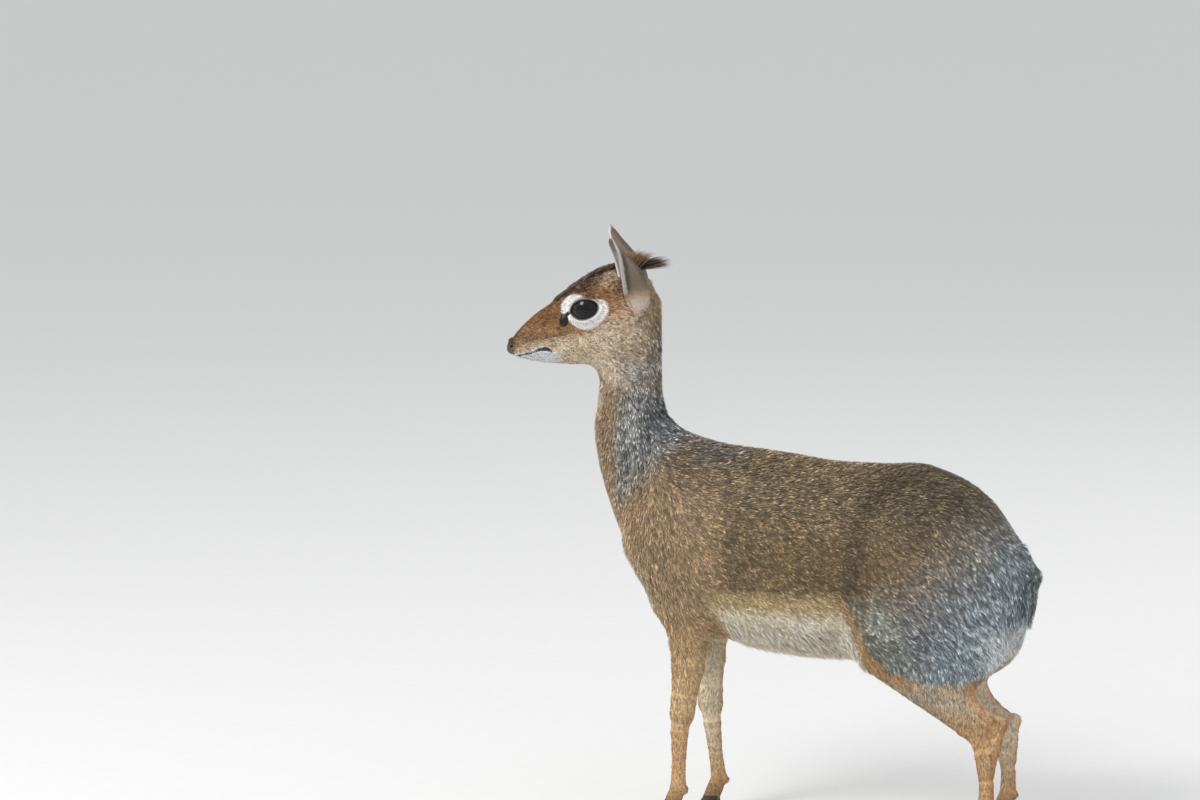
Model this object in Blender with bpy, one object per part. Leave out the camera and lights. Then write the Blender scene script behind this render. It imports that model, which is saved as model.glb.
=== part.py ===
"""A female dik-dik standing still, life size, in metres: +Z up, facing -X, her left side towards -Y.

The body is one smooth field: lofts and rounded bones that melt into each other. Each sub-part is meshed
from that field and parted from its neighbours by a thin cut, so the outline runs on across every joint.
"""

import math
import random

import bmesh
import bpy
import numpy as np
from mathutils import Matrix, Vector

GAP = 0.0003  # what touching pieces keep between them
TINY = 1e-9

# Trunk, coat included: place along X, back line, belly line, half width, share of height at the widest level
TRUNK = (
    (-0.120, 0.360, 0.195, 0.052, 0.48),
    (-0.095, 0.3640, 0.178, 0.057, 0.46),
    (-0.050, 0.3595, 0.163, 0.061, 0.45),
    (0.000, 0.3545, 0.154, 0.065, 0.45),
    (0.050, 0.3480, 0.1505, 0.067, 0.46),
    (0.105, 0.3468, 0.154, 0.068, 0.48),
    (0.150, 0.3465, 0.163, 0.069, 0.50),
    (0.180, 0.3345, 0.163, 0.067, 0.52),
    (0.205, 0.3160, 0.165, 0.061, 0.52),
    (0.228, 0.2900, 0.172, 0.053, 0.52),
    (0.242, 0.2715, 0.181, 0.045, 0.52),
    (0.252, 0.2520, 0.194, 0.032, 0.52),
)
TRUNK_CAP = 0.006
# Neck and breast: height, nape line, throat line, half width, share of depth at the widest place
NECK = (
    (0.205, -0.070, -0.127, 0.034, 0.50),
    (0.235, -0.070, -0.149, 0.041, 0.50),
    (0.270, -0.070, -0.1660, 0.046, 0.50),
    (0.305, -0.070, -0.1795, 0.048, 0.50),
    (0.340, -0.082, -0.1895, 0.046, 0.50),
    (0.3725, -0.112, -0.1935, 0.040, 0.50),
    (0.400, -0.1225, -0.1905, 0.033, 0.50),
    (0.433, -0.1245, -0.1885, 0.029, 0.50),
    (0.465, -0.1245, -0.184, 0.027, 0.50),
    (0.495, -0.127, -0.178, 0.026, 0.50),
)
NECK_CAP = 0.020
BODY_POWER = 2.2
NECK_BLEND = 0.040

# The head's own axes: forward along the snout's side view, right, and up
HEAD_ORIGIN = np.array((-0.1556, 0.0, 0.5108))
HEAD_TURN = math.radians(18)
HEAD_ROLL = math.radians(3)
# Head: place forward, crown line, jaw line, half width, share of height at the widest level
HEAD = (
    (-0.014, 0.012, -0.070, 0.027, 0.62),
    (0.000, 0.0215, -0.080, 0.031, 0.64),
    (0.015, 0.0240, -0.080, 0.033, 0.66),
    (0.030, 0.0205, -0.0765, 0.0325, 0.68),
    (0.045, 0.0140, -0.0755, 0.0310, 0.68),
    (0.060, 0.0040, -0.0755, 0.0270, 0.66),
    (0.072, -0.0055, -0.0750, 0.0225, 0.62),
    (0.084, -0.0150, -0.0740, 0.0185, 0.58),
    (0.096, -0.0235, -0.0725, 0.0155, 0.54),
    (0.106, -0.0325, -0.0705, 0.0135, 0.50),
    (0.114, -0.0410, -0.0680, 0.0120, 0.46),
    (0.119, -0.0475, -0.0655, 0.0105, 0.44),
)
HEAD_CAP = 0.0065
HEAD_POWER = 2.1
JAW_POWER = 1.75
HEAD_BLEND = 0.020

# Eyes, in the head's axes: forward, right, up
EYE_PLACE = (0.0457, 0.0206, -0.0155)
EYE_RADIUS = 0.0160
EYE_OPENING = (0.0145, 0.0100)  # half length and half height of the opening between the lids
EYE_TURN = 0.20  # how far the eye looks forward, against sideways
EYE_SLANT = 0.24  # how far the tear duct lies below the outer corner, against length
LID_THICKNESS = 0.0016
LID_SKIN = 0.0011
LID_POINTS = 20
ALMOND = 0.55  # how much lower the opening is at the tear duct
GLAND_PLACE = (0.0680, 0.0205, -0.0285)
# The line of the mouth, from its corner: place forward, level, half the gap between the lips
MOUTH_LINE = (
    (0.0795, -0.0600, 0.0004),
    (0.0840, -0.0572, 0.0010),
    (0.0890, -0.0568, 0.0013),
    (0.0950, -0.0590, 0.0011),
    (0.1010, -0.0618, 0.0009),
    (0.1080, -0.0636, 0.0007),
    (0.1130, -0.0648, 0.0006),
)
MOUTH_DEPTH = 0.0035

# Ears: height in the ear, then in the head's axes the middle of the rims forward, out and up,
# half the width across the rims, depth of the cup behind them, and how far it opens outward in degrees
EAR = (
    (-0.20, -0.0060, 0.0225, -0.0245, 0.0080, 0.0100, 5),
    (-0.10, 0.0000, 0.0248, -0.0172, 0.0095, 0.0175, 5),
    (0.00, 0.0055, 0.0270, -0.0090, 0.0113, 0.0243, 6),
    (0.12, 0.0091, 0.0295, 0.0005, 0.0128, 0.0273, 6),
    (0.25, 0.0108, 0.0320, 0.0090, 0.0140, 0.0276, 7),
    (0.45, 0.0130, 0.0370, 0.0220, 0.0158, 0.0248, 8),
    (0.65, 0.0156, 0.0412, 0.0350, 0.0150, 0.0170, 11),
    (0.82, 0.0185, 0.0445, 0.0465, 0.0126, 0.0088, 15),
    (0.93, 0.0208, 0.0463, 0.0535, 0.0092, 0.0050, 18),
    (1.00, 0.0215, 0.0472, 0.0580, 0.0046, 0.0018, 20),
)
EAR_WALL = 0.0020
EAR_ROWS, EAR_COLUMNS = 12, 10

# Crest, each kind of lock: how many, first and last root forward, spread sideways, first and last length,
# first and last rise above straight back in degrees, how far it bends down, and width
CREST = (
    ("ridge", 20, 0.0760, 0.0220, 0.0045, 0.0085, 0.0120, 54, 42, 30, 0.0036),
    ("tuft", 20, 0.0190, -0.0050, 0.0080, 0.0180, 0.0290, 86, 60, 26, 0.0046),
    ("lying", 6, 0.0090, 0.0000, 0.0022, 0.0370, 0.0400, 18, 15, 8, 0.0052),
)
CREST_SEED = 7
LOCK_ROOT = 0.0035
LOCK_FLATNESS = 0.45
LOCK_STEPS = 4

TAIL_ROOT, TAIL_MIDDLE, TAIL_TIP = (0.2430, 0.0, 0.2640), (0.2545, 0.0, 0.2390), (0.2545, 0.0, 0.1930)

# Legs: the middle of each stretch and its thickness fore and aft, from the shoulder or hip down
FLOOR = -0.016  # level of the floor, in the frame in which the body's levels are given
FORE_SPREAD = 0.034
HIND_SPREAD = 0.040
JOINT_BLEND = 0.0014  # small, so that a leg doesn't swell where two of its bones meet
LEFT, RIGHT = -1, 1
FORE_CUT_LEVEL = 0.160
HIND_CUT_START, HIND_CUT_LEVEL, HIND_CUT_SLOPE = 0.060, 0.140, 0.08
CORONET_LEVEL = FLOOR + 0.0135
# Hooves: level above the floor, length, width of one claw, and how far its middle lies ahead of the coronet
CLAW_LEVELS = (
    (0.0000, 0.0240, 0.0086, -0.0040),
    (0.0015, 0.0246, 0.0089, -0.0040),
    (0.0070, 0.0208, 0.0084, -0.0020),
    (CORONET_LEVEL - FLOOR - GAP / 2, 0.0158, 0.0074, 0.0000),
)
CLAW_OUTLINE = (
    (-1.00, 0.12), (-0.84, 0.52), (-0.45, 0.90), (0.15, 1.00), (0.68, 0.90),
    (0.98, 0.52), (0.96, 0.14), (0.50, 0.00), (-0.30, 0.00), (-0.90, 0.00),
)
CLEFT = 0.0012

# Where the neck parts from the torso and the head from the neck
NECK_FOOT_PLACE, NECK_FOOT_NORMAL = np.array((-0.150, 0.0, 0.368)), np.array((-0.1483, 0.0, 0.9889))
NECK_TOP_PLACE, NECK_TOP_NORMAL = np.array((-0.158, 0.0, 0.4565)), np.array((-0.7000, 0.0, 0.7141))

HEAD_TRIANGLES, TORSO_TRIANGLES, NECK_TRIANGLES = 2200, 1700, 500
LEG_TRIANGLES, TAIL_TRIANGLES = 480, 180


def along(stations, column, at):
    """One column of a station table, read along a smooth curve through its rows."""
    places = np.array([row[0] for row in stations])
    values = np.array([row[column] for row in stations])
    slopes = np.gradient(values, places)
    i = np.clip(np.searchsorted(places, at) - 1, 0, len(places) - 2)
    step = places[i + 1] - places[i]
    t = np.clip((at - places[i]) / step, 0, 1)
    rise = t * t * (3 - 2 * t)
    bend = t * (1 - t) ** 2 * slopes[i] - t * t * (1 - t) * slopes[i + 1]
    return values[i] + (values[i + 1] - values[i]) * rise + bend * step


def loft(place, across, height, stations, cap, power, low_power):
    """Signed distance, near the surface, to a form lofted along one axis through egg-shaped sections."""
    top, bottom, half, share = (along(stations, column, place) for column in (1, 2, 3, 4))
    middle = bottom + share * (top - bottom)
    offset = height - middle
    rise = np.abs(offset) / np.where(offset > 0, top - middle, middle - bottom)
    over = np.maximum(0, np.maximum(stations[0][0] - place, place - stations[-1][0]))
    shape = np.where(offset > 0, power, low_power)
    ring = ((np.abs(across) / half) ** shape + rise**shape) ** (1 / shape)
    size = np.sqrt(ring**2 + (over / cap) ** 2)
    reach = np.sqrt(across**2 + offset**2 + over**2)
    return (size - 1) * reach / np.maximum(size, TINY)


def bone(points, start, end, start_radius, end_radius, flat=1.0):
    """Signed distance to a tapered rod with round ends, flattened sideways by flat."""
    scale = np.array((1.0, 1.0 / flat, 1.0))
    p = (points - np.array(start)) * scale
    axis = (np.array(end) - np.array(start)) * scale
    length = np.linalg.norm(axis)
    axis = axis / length
    lean = (start_radius - end_radius) / length
    tilt = math.sqrt(max(0.0, 1 - lean * lean))
    run = p @ axis
    out = np.sqrt(np.maximum((p * p).sum(1) - run**2, 0))
    shifted = np.clip(run + out * lean / max(tilt, TINY), 0, length)
    radius = start_radius + (end_radius - start_radius) * shifted / length
    return (np.sqrt((run - shifted) ** 2 + out**2) - radius) * (0.5 + 0.5 * flat)


def egg(points, centre, radii, lean=0.0):
    """Signed distance, near the surface, to an ellipsoid leaned forward about the sideways axis."""
    p = points - np.array(centre)
    c, s = math.cos(lean), math.sin(lean)
    p = np.stack((p[:, 0] * c + p[:, 2] * s, p[:, 1], p[:, 2] * c - p[:, 0] * s), 1)
    near = np.linalg.norm(p / np.array(radii), axis=1)
    far = np.linalg.norm(p / np.array(radii) ** 2, axis=1)
    return near * (near - 1) / np.maximum(far, TINY)


def melt(a, b, blend):
    """Smooth union of two fields."""
    h = np.maximum(blend - np.abs(a - b), 0) / blend
    return np.minimum(a, b) - h * h * blend / 4


def head_axes():
    """Rows: forward, right and up of the head, turned to her left and rolled a little that way."""
    forward = np.array((-math.cos(HEAD_TURN), -math.sin(HEAD_TURN), 0.0))
    right = np.array((-math.sin(HEAD_TURN), math.cos(HEAD_TURN), 0.0))
    up = np.array((0.0, 0.0, 1.0))
    c, s = math.cos(HEAD_ROLL), math.sin(HEAD_ROLL)
    return np.array((forward, right * c + up * s, up * c - right * s))


HEAD_AXES = head_axes()


def into_head(points):
    return (points - HEAD_ORIGIN) @ HEAD_AXES.T


def out_of_head(points):
    return np.asarray(points) @ HEAD_AXES + HEAD_ORIGIN


def fore_leg(side):
    """Joints of a foreleg from the shoulder down: place, radius fore and aft, flatness. The left foot leads."""
    lean = 0.0 if side == LEFT else 1.0
    y = side * FORE_SPREAD
    return (
        ((-0.118, side * 0.037, 0.262), 0.034, 0.62),
        ((-0.090, side * 0.036, 0.196), 0.0275, 0.66),
        ((-0.0855, y, 0.168), 0.0225, 0.70),
        ((-0.0860 + 0.001 * lean, y, 0.140), 0.0180, 0.76),
        ((-0.0900 + 0.006 * lean, y, 0.108), 0.0136, 0.86),
        ((-0.0920 + 0.009 * lean, y, 0.092), 0.0132, 0.90),
        ((-0.0945 + 0.013 * lean, y, 0.074), 0.0096, 0.90),
        ((-0.0955 + 0.018 * lean, y, 0.040), 0.0074, 0.90),
        ((-0.0960 + 0.022 * lean, y, FLOOR + 0.032), 0.0086, 0.92),
        ((-0.1040 + 0.022 * lean, y, FLOOR + 0.012), 0.0088, 0.98),
    )


def hind_leg(side):
    """Joints of a hind leg from the knee down. Her right hock is bent more, and so lower and further forward."""
    y = side * HIND_SPREAD
    bend = 0.0 if side == LEFT else 1.0
    return (
        ((0.125, side * 0.042, 0.170), 0.0360, 0.62),
        ((0.2050 - 0.006 * bend, y, 0.102 - 0.007 * bend), 0.0195, 0.58),
        ((0.2150 - 0.006 * bend, y, 0.094 - 0.008 * bend), 0.0180, 0.58),
        ((0.2200 + 0.001 * bend, y, 0.068 - 0.004 * bend), 0.0106, 0.72),
        ((0.2225 + 0.002 * bend, y, 0.0380), 0.0077, 0.84),
        ((0.2225 + 0.002 * bend, y, FLOOR + 0.0320), 0.0088, 0.90),
        ((0.2135 + 0.002 * bend, y, FLOOR + 0.0120), 0.0088, 0.98),
    )


def heel(side):
    """The point of the hock and the sinew under it: ends, radii and flatness of each."""
    y = side * HIND_SPREAD
    bend = 0.0 if side == LEFT else 1.0
    root = (0.2150 - 0.006 * bend, y, 0.0990 - 0.008 * bend)
    tip = (0.2370 - 0.007 * bend, y, 0.0985 - 0.009 * bend)
    shank = (0.2232 + 0.002 * bend, y, 0.0520)
    return (root, tip, 0.0150, 0.0066, 0.62), (tip, shank, 0.0066, 0.0078, 0.76)


def foot(side, joints):
    """Middle of a foot at the coronet, where its leg ends."""
    return joints(side)[-1][0]


def chain(points, joints, blend):
    """Bones from each joint to the next, melted together."""
    field = None
    for (start, thick, flat), (end, thin, flat_end) in zip(joints, joints[1:]):
        piece = bone(points, start, end, thick, thin, (flat + flat_end) / 2)
        field = piece if field is None else melt(field, piece, blend)
    return field


def dew_claws(points, joints, side):
    """Two small claws behind the fetlock."""
    x, y, z = joints(side)[-2][0]
    pair = [egg(points, (x + 0.0073, y + out * 0.0042, z - 0.002), (0.0030, 0.0026, 0.0045)) for out in (-1, 1)]
    return np.minimum(*pair)


def eye_frame(side):
    """Centre of an eye in the head's axes and its own axes: along the opening, up, and out."""
    centre = np.array((EYE_PLACE[0], side * EYE_PLACE[1], EYE_PLACE[2]))
    out = np.array((EYE_TURN, side, 0.04))
    out = out / np.linalg.norm(out)
    along_slit = np.array((1.0, 0.0, -EYE_SLANT))
    along_slit = along_slit - out * (along_slit @ out)
    along_slit = along_slit / np.linalg.norm(along_slit)
    up = np.cross(out, along_slit) * side
    return centre, along_slit, up if up[2] > 0 else -up, out


def lid_curve(side, radius, stretch, count):
    """Points of the lids' edge on a sphere round the eye: an almond, pointed at the tear duct."""
    centre, forward, up, out = eye_frame(side)
    curve = []
    for i in range(count):
        turn = 2 * math.pi * i / count
        u = EYE_OPENING[0] * math.cos(turn) * stretch
        v = EYE_OPENING[1] * math.sin(turn) * stretch
        if u > 0:
            v *= 1 - ALMOND * math.cos(turn) ** 4
        w = math.sqrt(radius**2 - min(u * u + v * v, radius**2 * 0.98))
        curve.append(centre + forward * u + up * v + out * w)
    return curve


def near_curve(points, curve):
    """Distance to a closed line through a row of points."""
    best = np.full(len(points), 1.0)
    for start, end in zip(curve, curve[1:] + curve[:1]):
        step = end - start
        offset = points - start
        share = np.clip(offset @ step / (step @ step), 0, 1)
        best = np.minimum(best, np.linalg.norm(offset - share[:, None] * step, axis=1))
    return best


def carve(field, hole, blend):
    """Smooth difference: the field without the hole."""
    return -melt(-field, hole, blend)


def eyelids(field, mirrored):
    """Skin over the eyeball, an almond opening in it, and the thick edge of the lids round that."""
    centre, forward, up, out = eye_frame(RIGHT)
    field = melt(field, np.linalg.norm(mirrored - centre, axis=1) - (EYE_RADIUS + LID_SKIN), 0.006)
    near = np.linalg.norm(mirrored - centre, axis=1) < 0.030
    offset = mirrored[near] - centre
    far = np.maximum(np.linalg.norm(offset, axis=1), TINY)
    u = offset @ forward / far * EYE_RADIUS / EYE_OPENING[0]
    v = offset @ up / far * EYE_RADIUS / EYE_OPENING[1]
    v = v / np.where(u > 0, 1 - ALMOND * np.clip(u, 0, 1) ** 4, 1.0)
    rim = (np.hypot(u, v) - 0.97) * EYE_OPENING[1]
    opening = np.maximum(np.maximum(rim, 0.012 - far), -offset @ out)
    edge = near_curve(mirrored[near], lid_curve(RIGHT, EYE_RADIUS + 0.0003, 1.0, LID_POINTS)) - LID_THICKNESS
    field = field.copy()
    field[near] = melt(carve(field[near], opening, 0.001), edge, 0.0015)
    return field


def head_field(points):
    h = into_head(points)
    field = loft(h[:, 0], h[:, 1], h[:, 2], HEAD, HEAD_CAP, HEAD_POWER, JAW_POWER)
    mirrored = h * np.array((1, 0, 1)) + np.stack((h[:, 0] * 0, np.abs(h[:, 1]), h[:, 0] * 0), 1)
    cheek = egg(mirrored, (0.026, 0.021, -0.044), (0.026, 0.0115, 0.022))
    gland = egg(mirrored, GLAND_PLACE, (0.0055, 0.0045, 0.0065))
    upper_lip = bone(mirrored, (0.113, 0.0055, -0.0615), (0.084, 0.0125, -0.0545), 0.0052, 0.0045)
    field = eyelids(field, mirrored)
    field = melt(field, cheek, 0.018)
    field = melt(field, upper_lip, 0.006)
    return melt(field, gland, 0.004)


def leg_fields(points):
    """Both forelegs, then both hind legs with thigh, knee and hock."""
    fields = []
    for side in (LEFT, RIGHT):
        leg = chain(points, fore_leg(side), JOINT_BLEND)
        fields.append(melt(leg, dew_claws(points, fore_leg, side), 0.003))
    for side in (LEFT, RIGHT):
        y = side * HIND_SPREAD
        thigh = egg(points, (0.157, side * 0.036, 0.246), (0.074, 0.036, 0.084), 0.20)
        ham = egg(points, (0.197, side * 0.034, 0.200), (0.048, 0.029, 0.064), 0.10)
        thigh = melt(thigh, ham, 0.020)
        knee = bone(points, (0.150, y, 0.222), (0.108, y, 0.184), 0.046, 0.027, 0.62)
        point, sinew = heel(side)
        leg = melt(chain(points, hind_leg(side), JOINT_BLEND), bone(points, *point), 0.008)
        leg = melt(leg, bone(points, *sinew), 0.004)
        leg = melt(leg, dew_claws(points, hind_leg, side), 0.003)
        fields.append(melt(melt(leg, knee, 0.020), thigh, 0.026))
    return fields


def body_field(points):
    """The whole animal without ears, eyes, hooves and tail. Negative inside."""
    trunk = loft(points[:, 0], points[:, 1], points[:, 2], TRUNK, TRUNK_CAP, BODY_POWER, BODY_POWER)
    neck = loft(points[:, 2], points[:, 1], points[:, 0], NECK, NECK_CAP, 2.0, 2.0)
    field = melt(trunk, neck, NECK_BLEND)
    for side in (LEFT, RIGHT):
        shoulder = egg(points, (-0.103, side * 0.034, 0.285), (0.038, 0.024, 0.056), -0.25)
        field = melt(field, shoulder, 0.020)
    fore_left, fore_right, hind_left, hind_right = leg_fields(points)
    field = melt(field, np.minimum(fore_left, fore_right), 0.016)
    field = melt(field, np.minimum(hind_left, hind_right), 0.018)
    return melt(field, head_field(points), HEAD_BLEND)


def untangle(value):
    """Fills a corner wherever two corners of a cell's face meet only across its diagonal."""
    filled = -1e-7
    for _ in range(6):
        for axis in range(3):
            u, v = (axis + 1) % 3, (axis + 2) % 3
            corner = {}
            for a in (0, 1):
                for b in (0, 1):
                    cut = [slice(None)] * 3
                    cut[u] = slice(1, None) if a else slice(None, -1)
                    cut[v] = slice(1, None) if b else slice(None, -1)
                    corner[a, b] = value[tuple(cut)]
            for a in (0, 1):
                near, far = corner[a, 0], corner[1 - a, 1]
                side, other = corner[1 - a, 0], corner[a, 1]
                tangled = (near < 0) & (far < 0) & (side >= 0) & (other >= 0)
                side[tangled] = filled
    return value


def surface_net(field, low, high, cell):
    """Points and quads of the surface where the field is zero inside a box: a point in each crossed cell."""
    low = np.array(low)
    count = np.ceil((np.array(high) - low) / cell).astype(int) + 1
    axes = [low[i] + cell * np.arange(count[i]) for i in range(3)]
    grid = np.stack(np.meshgrid(*axes, indexing="ij"), -1)
    value = field(grid.reshape(-1, 3)).reshape(count)
    for axis in range(3):
        for end in (0, -1):
            edge = [slice(None)] * 3
            edge[axis] = end
            value[tuple(edge)] = np.maximum(value[tuple(edge)], cell)
    value = untangle(value)
    inside = value < 0
    total = np.zeros((*count, 3))
    hits = np.zeros(count)
    crossings = []
    for axis in range(3):
        first = [slice(None)] * 3
        second = [slice(None)] * 3
        first[axis], second[axis] = slice(None, -1), slice(1, None)
        crossed = np.argwhere(inside[tuple(first)] != inside[tuple(second)])
        step = np.eye(3, dtype=int)[axis]
        a, b = value[tuple(crossed.T)], value[tuple((crossed + step).T)]
        place = grid[tuple(crossed.T)] + (a / (a - b))[:, None] * cell * step
        u, v = np.eye(3, dtype=int)[(axis + 1) % 3], np.eye(3, dtype=int)[(axis + 2) % 3]
        ring = [crossed, crossed - u, crossed - u - v, crossed - v]
        for corner in ring:
            np.add.at(total, tuple(corner.T), place)
            np.add.at(hits, tuple(corner.T), 1)
        crossings.append((ring, a < 0))
    number = -np.ones(count, dtype=int)
    used = np.argwhere(hits > 0)
    number[tuple(used.T)] = np.arange(len(used))
    points = total[tuple(used.T)] / hits[tuple(used.T)][:, None]
    quads = []
    for ring, outward in crossings:
        faces = np.stack([number[tuple(corner.T)] for corner in ring], 1)
        quads.append(np.where(outward[:, None], faces, faces[:, ::-1]))
    return points, np.concatenate(quads)


def settle(field, points, rounds=2, reach=0.0004):
    """Moves points onto the surface along the field's slope."""
    for _ in range(rounds):
        here = field(points)
        slope = np.stack([field(points + reach * axis) - here for axis in np.eye(3)], 1) / reach
        size = (slope**2).sum(1)
        points = points - slope * (here / np.maximum(size, 0.2))[:, None]
    return points


def new_object(name, points, faces, material=None):
    mesh = bpy.data.meshes.new(name)
    mesh.from_pydata([tuple(p) for p in points], [], [tuple(int(i) for i in f) for f in faces])
    mesh.validate()
    obj = bpy.data.objects.new(name, mesh)
    bpy.context.scene.collection.objects.link(obj)
    if material is not None:
        mesh.materials.append(material)
    return obj


def apply_modifiers(obj):
    """Replaces the object's mesh by what its modifiers make of it."""
    graph = bpy.context.evaluated_depsgraph_get()
    mesh = bpy.data.meshes.new_from_object(obj.evaluated_get(graph))
    old = obj.data
    obj.modifiers.clear()
    obj.data = mesh
    bpy.data.meshes.remove(old)
    mesh.name = obj.name


def thin_out(obj, triangles):
    """Collapses flat stretches until about this many triangles are left."""
    now = sum(len(face.vertices) - 2 for face in obj.data.polygons)
    if now > triangles:
        fewer = obj.modifiers.new("fewer_faces", "DECIMATE")
        fewer.ratio = triangles / now
        apply_modifiers(obj)


def slice_off(obj, place, normal):
    """Cuts away what lies on the normal's side of a plane and closes the cut with a flat face."""
    mesh = bmesh.new()
    mesh.from_mesh(obj.data)
    geometry = mesh.verts[:] + mesh.edges[:] + mesh.faces[:]
    cut = bmesh.ops.bisect_plane(mesh, geom=geometry, plane_co=place, plane_no=normal, clear_outer=True)
    rim = [item for item in cut["geom_cut"] if isinstance(item, bmesh.types.BMEdge)]
    cap = bmesh.ops.edgeloop_fill(mesh, edges=rim)
    bmesh.ops.triangulate(mesh, faces=cap["faces"])
    bmesh.ops.recalc_face_normals(mesh, faces=mesh.faces[:])
    mesh.to_mesh(obj.data)
    mesh.free()


def keep_largest(obj):
    """Keeps the largest closed surface of a mesh."""
    mesh = bmesh.new()
    mesh.from_mesh(obj.data)
    mesh.verts.ensure_lookup_table()
    left = set(mesh.verts)
    islands = []
    while left:
        island, front = set(), [left.pop()]
        while front:
            vertex = front.pop()
            island.add(vertex)
            for edge in vertex.link_edges:
                other = edge.other_vert(vertex)
                if other in left:
                    left.remove(other)
                    front.append(other)
        islands.append(island)
    largest = max(islands, key=len)
    bmesh.ops.delete(mesh, geom=[v for v in mesh.verts if v not in largest], context="VERTS")
    mesh.to_mesh(obj.data)
    mesh.free()


def boolean(obj, others, operation, solver="EXACT"):
    """One Boolean with every object of a list, applied, after which those objects are gone."""
    group = bpy.data.collections.new(obj.name + "_" + operation.lower())
    for other in others:
        group.objects.link(other)
    step = obj.modifiers.new(operation.lower(), "BOOLEAN")
    step.operation = operation
    step.operand_type = "COLLECTION"
    step.collection = group
    step.solver = solver
    apply_modifiers(obj)
    for other in others:
        mesh = other.data
        bpy.data.objects.remove(other)
        bpy.data.meshes.remove(mesh)
    bpy.data.collections.remove(group)
    keep_largest(obj)


def paint(name, color, roughness):
    material = bpy.data.materials.new(name)
    material.use_nodes = True
    shader = material.node_tree.nodes["Principled BSDF"]
    shader.inputs["Base Color"].default_value = (*color, 1.0)
    shader.inputs["Roughness"].default_value = roughness
    shader.inputs["Metallic"].default_value = 0.0
    return material


def flesh(name, low, high, cell, triangles, planes, material):
    """A stretch of the body inside a box and on the inner side of each plane, on the true surface."""
    points, quads = surface_net(body_field, low, high, cell)
    obj = new_object(name, settle(body_field, points), quads, material)
    keep_largest(obj)
    for place, normal in planes:
        slice_off(obj, place, normal)
    keep_largest(obj)
    thin_out(obj, triangles)
    return obj


def finish(obj, angle=40):
    """Splits the faces into triangles and shades all but the sharp edges smooth."""
    mesh = bmesh.new()
    mesh.from_mesh(obj.data)
    bmesh.ops.triangulate(mesh, faces=mesh.faces[:], quad_method="BEAUTY", ngon_method="BEAUTY")
    mesh.to_mesh(obj.data)
    mesh.free()
    for face in obj.data.polygons:
        face.use_smooth = True
    obj.data.set_sharp_from_angle(angle=math.radians(angle))


def shell(name, rings, material=None):
    """A closed mesh through rings of points, with a flat face on both ends."""
    count = len(rings[0])
    points = [point for ring in rings for point in ring]
    faces = [tuple(reversed(range(count)))]
    for level in range(len(rings) - 1):
        for i in range(count):
            j = (i + 1) % count
            base = level * count
            faces.append((base + i, base + j, base + count + j, base + count + i))
    faces.append(tuple(range((len(rings) - 1) * count, len(rings) * count)))
    obj = new_object(name, points, faces, material)
    face_outward(obj)
    return obj


def face_outward(obj):
    mesh = bmesh.new()
    mesh.from_mesh(obj.data)
    bmesh.ops.recalc_face_normals(mesh, faces=mesh.faces[:])
    mesh.to_mesh(obj.data)
    mesh.free()


def ball(name, centre, radius, rings, columns, material=None):
    """A round ball of quads, closed with small flat ends."""
    levels = []
    for i in range(rings):
        tilt = math.pi * (i + 0.35) / (rings - 0.3)
        ring = []
        for j in range(columns):
            turn = 2 * math.pi * j / columns
            flat = math.sin(tilt)
            offset = np.array((flat * math.cos(turn), flat * math.sin(turn), math.cos(tilt)))
            ring.append(tuple(np.array(centre) + radius * offset))
        levels.append(ring)
    return shell(name, levels, material)


def puffed_copy(obj, distance):
    """A copy moved outward along its normals, to keep a neighbour clear of it."""
    mesh = bmesh.new()
    mesh.from_mesh(obj.data)
    mesh.normal_update()
    normals = [vertex.normal.copy() for vertex in mesh.verts]
    for vertex, normal in zip(mesh.verts, normals):
        vertex.co += normal * distance
    copy = bpy.data.meshes.new(obj.name + "_puffed")
    mesh.to_mesh(copy)
    mesh.free()
    other = bpy.data.objects.new(copy.name, copy)
    bpy.context.scene.collection.objects.link(other)
    return other


def mouth_cut(name):
    """The line between the lips: a narrow wedge round the jaw, shallow all the way."""
    outer, inner = [], []
    for place, level, gape in MOUTH_LINE:
        half = max(head_half_width(place, level), 0.004)
        outer.append((place, half + 0.004, level, gape))
        inner.append((place - 0.001, max(half - MOUTH_DEPTH, 0.0015), level, gape))
    rings = []
    for (place, half, level, gape), (back, core, core_level, core_gape) in zip(outer, inner):
        rings.append(((place, half, level + gape), (place, half, level - gape),
                      (back, core, core_level - 0.0002), (back, core, core_level + 0.0002)))
    front_place, front_level, front_gape = MOUTH_LINE[-1]
    nose = (front_place + 0.008, 0.0, front_level)
    core = (front_place - 0.003, 0.0, front_level)
    rings.append(((nose[0], 0.0, nose[2] + front_gape), (nose[0], 0.0, nose[2] - front_gape),
                  (core[0], 0.0, core[2] - 0.0002), (core[0], 0.0, core[2] + 0.0002)))
    mirrored = [tuple((p[0], -p[1], p[2]) for p in ring) for ring in reversed(rings[:-1])]
    return shell(name, [out_of_head(ring) for ring in rings + mirrored])


def head_half_width(place, level):
    """Half width of the head's own loft at one place and level."""
    top, bottom, half, share = (float(along(HEAD, column, np.array([place]))[0]) for column in (1, 2, 3, 4))
    middle = bottom + share * (top - bottom)
    rise = abs(level - middle) / (top - middle if level > middle else middle - bottom)
    power = HEAD_POWER if level > middle else JAW_POWER
    return half * max(1 - min(rise, 1.0) ** power, 0) ** (1 / power)


def nostril(name, side):
    """A slanted comma in the side of the nose."""
    axis = [((0.1175, side * 0.0100, -0.0545), 0.0011), ((0.1205, side * 0.0085, -0.0560), 0.0019),
            ((0.1235, side * 0.0060, -0.0590), 0.0014)]
    rings = []
    for place, radius in axis:
        ring = []
        for i in range(6):
            turn = 2 * math.pi * i / 6
            ring.append(np.array(place) + radius * np.array((0.0, math.cos(turn) * 1.3, math.sin(turn))))
        rings.append(out_of_head(ring))
    return shell(name, rings)


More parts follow.
